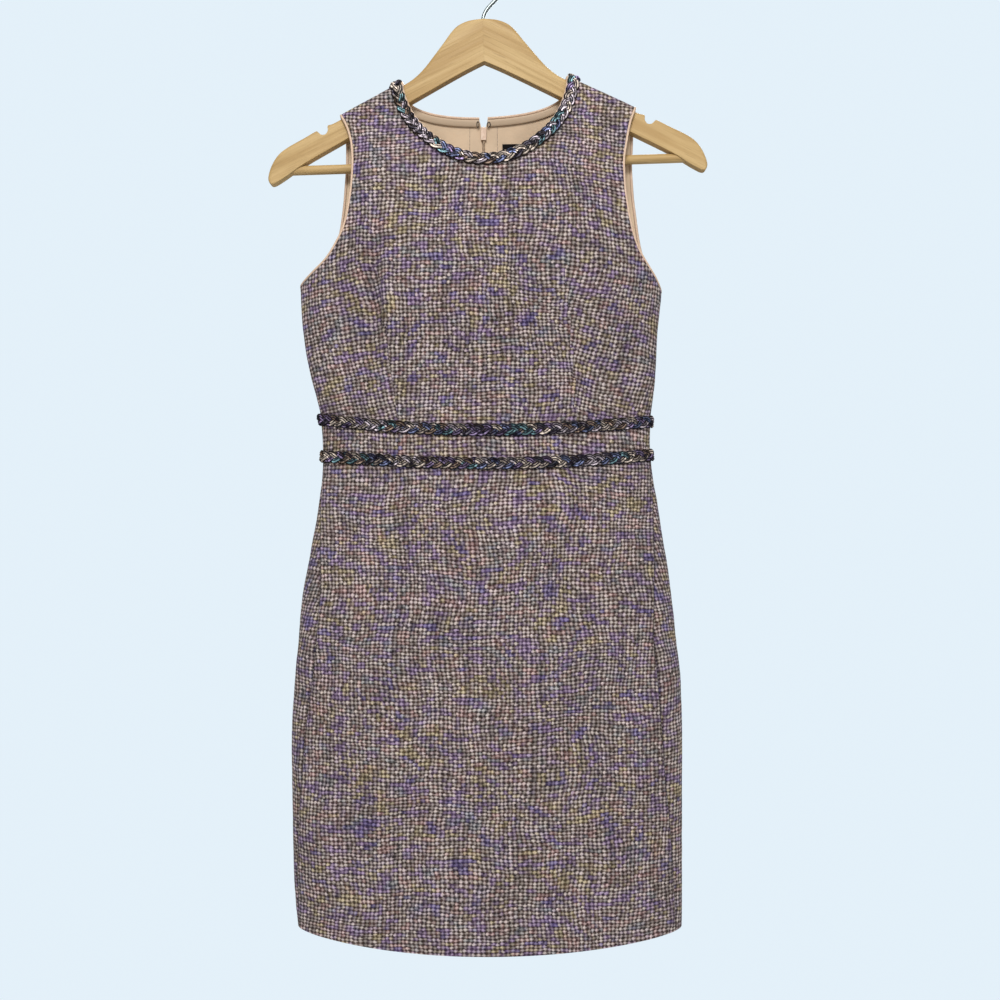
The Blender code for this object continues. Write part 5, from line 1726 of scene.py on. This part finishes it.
def hook_line():
    """Centre line of the hook's wire, from its foot to its tip: across, drop, thickness share."""
    radius = HOOK_INNER + WIRE / 2
    start = Vector((0.0, HOOK_FOOT + HOOK_SUNK))
    sine = math.sin(HOOK_JOIN)
    cosine = math.cos(HOOK_JOIN)
    end = Vector((radius * cosine, HOOK_INNER + radius * sine))
    pull = Vector((-sine, cosine)) * HOOK_PULL
    line = []
    for q in spread(0.0, 1.0, HOOK_STEPS[0]):
        p = 1 - q
        spot = start * p ** 3 + (start + HOOK_LEAN) * 3 * p * p * q
        spot = spot + (end + pull) * 3 * p * q * q + end * q ** 3
        line.append((spot.x, spot.y, 1.0))
    for turn in spread(-HOOK_JOIN, HOOK_END, HOOK_STEPS[1])[1:]:
        line.append((radius * math.cos(turn), HOOK_INNER - radius * math.sin(turn), 1.0))
    last = Vector(line[-1][:2])
    run = (last - Vector(line[-2][:2])).normalized() * WIRE / 2
    return line + [(*(last + run * along), share) for along, share in TIP_ROUNDING]


def make_hanger():
    pale = (0.50, 0.35, 0.155)
    dark = (0.395, 0.255, 0.098)
    for side, label in SIDES:
        wood = wood_material(f"wood_{label}", -side * SHOULDER_SLOPE, pale, dark)
        make_arm(side, label, wood)
    line = [(across, BAR_DROP, 1.0) for across in spread(-BAR_REACH, BAR_REACH, 40)]
    bar = wire_tube("wood_bar", line, BAR_RADIUS, wood_material("wood_of_bar", 0.0, pale, dark))
    settle(bar, "wood", "hanger_bar")
    plate = metal_material("hook_plate", (0.14, 0.18, 0.18), (0.26, 0.30, 0.30))
    settle(wire_tube("hook_wire", hook_line(), WIRE / 2, plate), "hook_metal", "hanger_hook")


# ------------------------------------------------------------------ the picture
CAMERA_X = 0.0194
CAMERA_AWAY = 1.2
CAMERA_Z = -0.546
LENS = 42.24
FLOOR_Z = -1.9
WALL_COLOUR = (0.775, 0.875, 0.950)
AMBIENT = 0.52
SKY = [
    # from below to above, brightness and tint
    (0.0, (0.25, 0.25, 0.26)),
    (1.0, (1.30, 1.27, 1.24)),
]
LIGHTS_AIM = Vector((0.0, 0.0, -0.5))
LIGHTS = [
    # name, place, size, watts, colour
    ("key", (-0.15, -2.1, 1.0), 0.9, 51.0, (1.0, 0.98, 0.97)),
    ("fill", (0.8, -2.0, -0.7), 1.6, 6.0, (0.97, 0.98, 1.0)),
    ("behind", (0.6, 2.2, 0.9), 1.4, 52.0, (1.0, 1.0, 1.0)),
]
FLOOR_RADIUS = 1.7
FLOOR_SIDES = 96


def make_lights():
    for name, spot, size, watts, colour in LIGHTS:
        lamp = bpy.data.lights.new(name, "AREA")
        lamp.shape = "DISK"
        lamp.size = size
        lamp.energy = watts
        lamp.color = colour
        made = new_object(name, lamp)
        made.location = spot
        made.rotation_euler = (LIGHTS_AIM - Vector(spot)).to_track_quat("-Z", "Y").to_euler()


def make_world():
    """A plain pale wall for the camera, and soft light from above for all else."""
    web = Web(bpy.data.worlds.new("studio"), "Background")
    upward = web.split(web.out("Generated", "TexCoord"))["Z"]
    tint = web.ramp(web.line(upward, -1.0, 1.0, 0.0, 1.0), SKY)
    soft = web.out(0, "Background", {"Color": tint, "Strength": AMBIENT})
    seen = web.out("Is Camera Ray", "LightPath")
    both = web.out(0, "MixShader", {0: seen, 1: soft, 2: web.shader.outputs[0]})
    web.put(web.tree.nodes["World Output"].inputs["Surface"], both)
    bpy.context.scene.world = web.finish(Color=WALL_COLOUR)


def make_floor():
    web = new_web("floor_paint")
    cloud = web.noise(web.place(), 3.0, 3.0)
    colour = web.mix(cloud, (0.78, 0.80, 0.82), (0.84, 0.86, 0.88))
    rim = [(math.cos(turn) * FLOOR_RADIUS, math.sin(turn) * FLOOR_RADIUS, FLOOR_Z)
           for turn in spread(0.0, ROUND, FLOOR_SIDES)[1:]]
    paint = web.finish(Base_Color=colour, Roughness=0.8)
    mesh_piece("floor", rim, [list(range(len(rim)))], paint, smooth=False)


def make_picture():
    scene = bpy.context.scene
    lens = bpy.data.cameras.new("photo_camera")
    lens.lens = LENS
    lens.sensor_width = 36.0
    lens.clip_start = 0.01
    camera = new_object("photo_camera", lens)
    camera.location = (CAMERA_X, -CAMERA_AWAY, CAMERA_Z)
    camera.rotation_euler = (RIGHT_ANGLE, 0.0, 0.0)
    scene.camera = camera
    scene.view_settings.view_transform = "Standard"
    make_world()
    make_lights()
    make_floor()


# ------------------------------------------------------------------ the scene
dress_panels(tweed_material())
make_braids(yarn_material())
make_bindings(binding_material())
make_lining(satin_material("lining_satin", (0.70, 0.54, 0.375), 0.6))
# the facing's satin is the lining's colour darkened by a quarter, as painted shade inside the back
# neck
make_neck_facing(satin_material("facing_satin_painted_shade", (0.52, 0.40, 0.28), 0.55))
make_zip(satin_material("tape_weave", (0.68, 0.53, 0.375), 0.75), enamel_material())
make_label(label_material())
make_fastener(metal_material("fastener_wire", (0.035, 0.033, 0.032), (0.09, 0.085, 0.08)))
make_hanger()
make_picture()
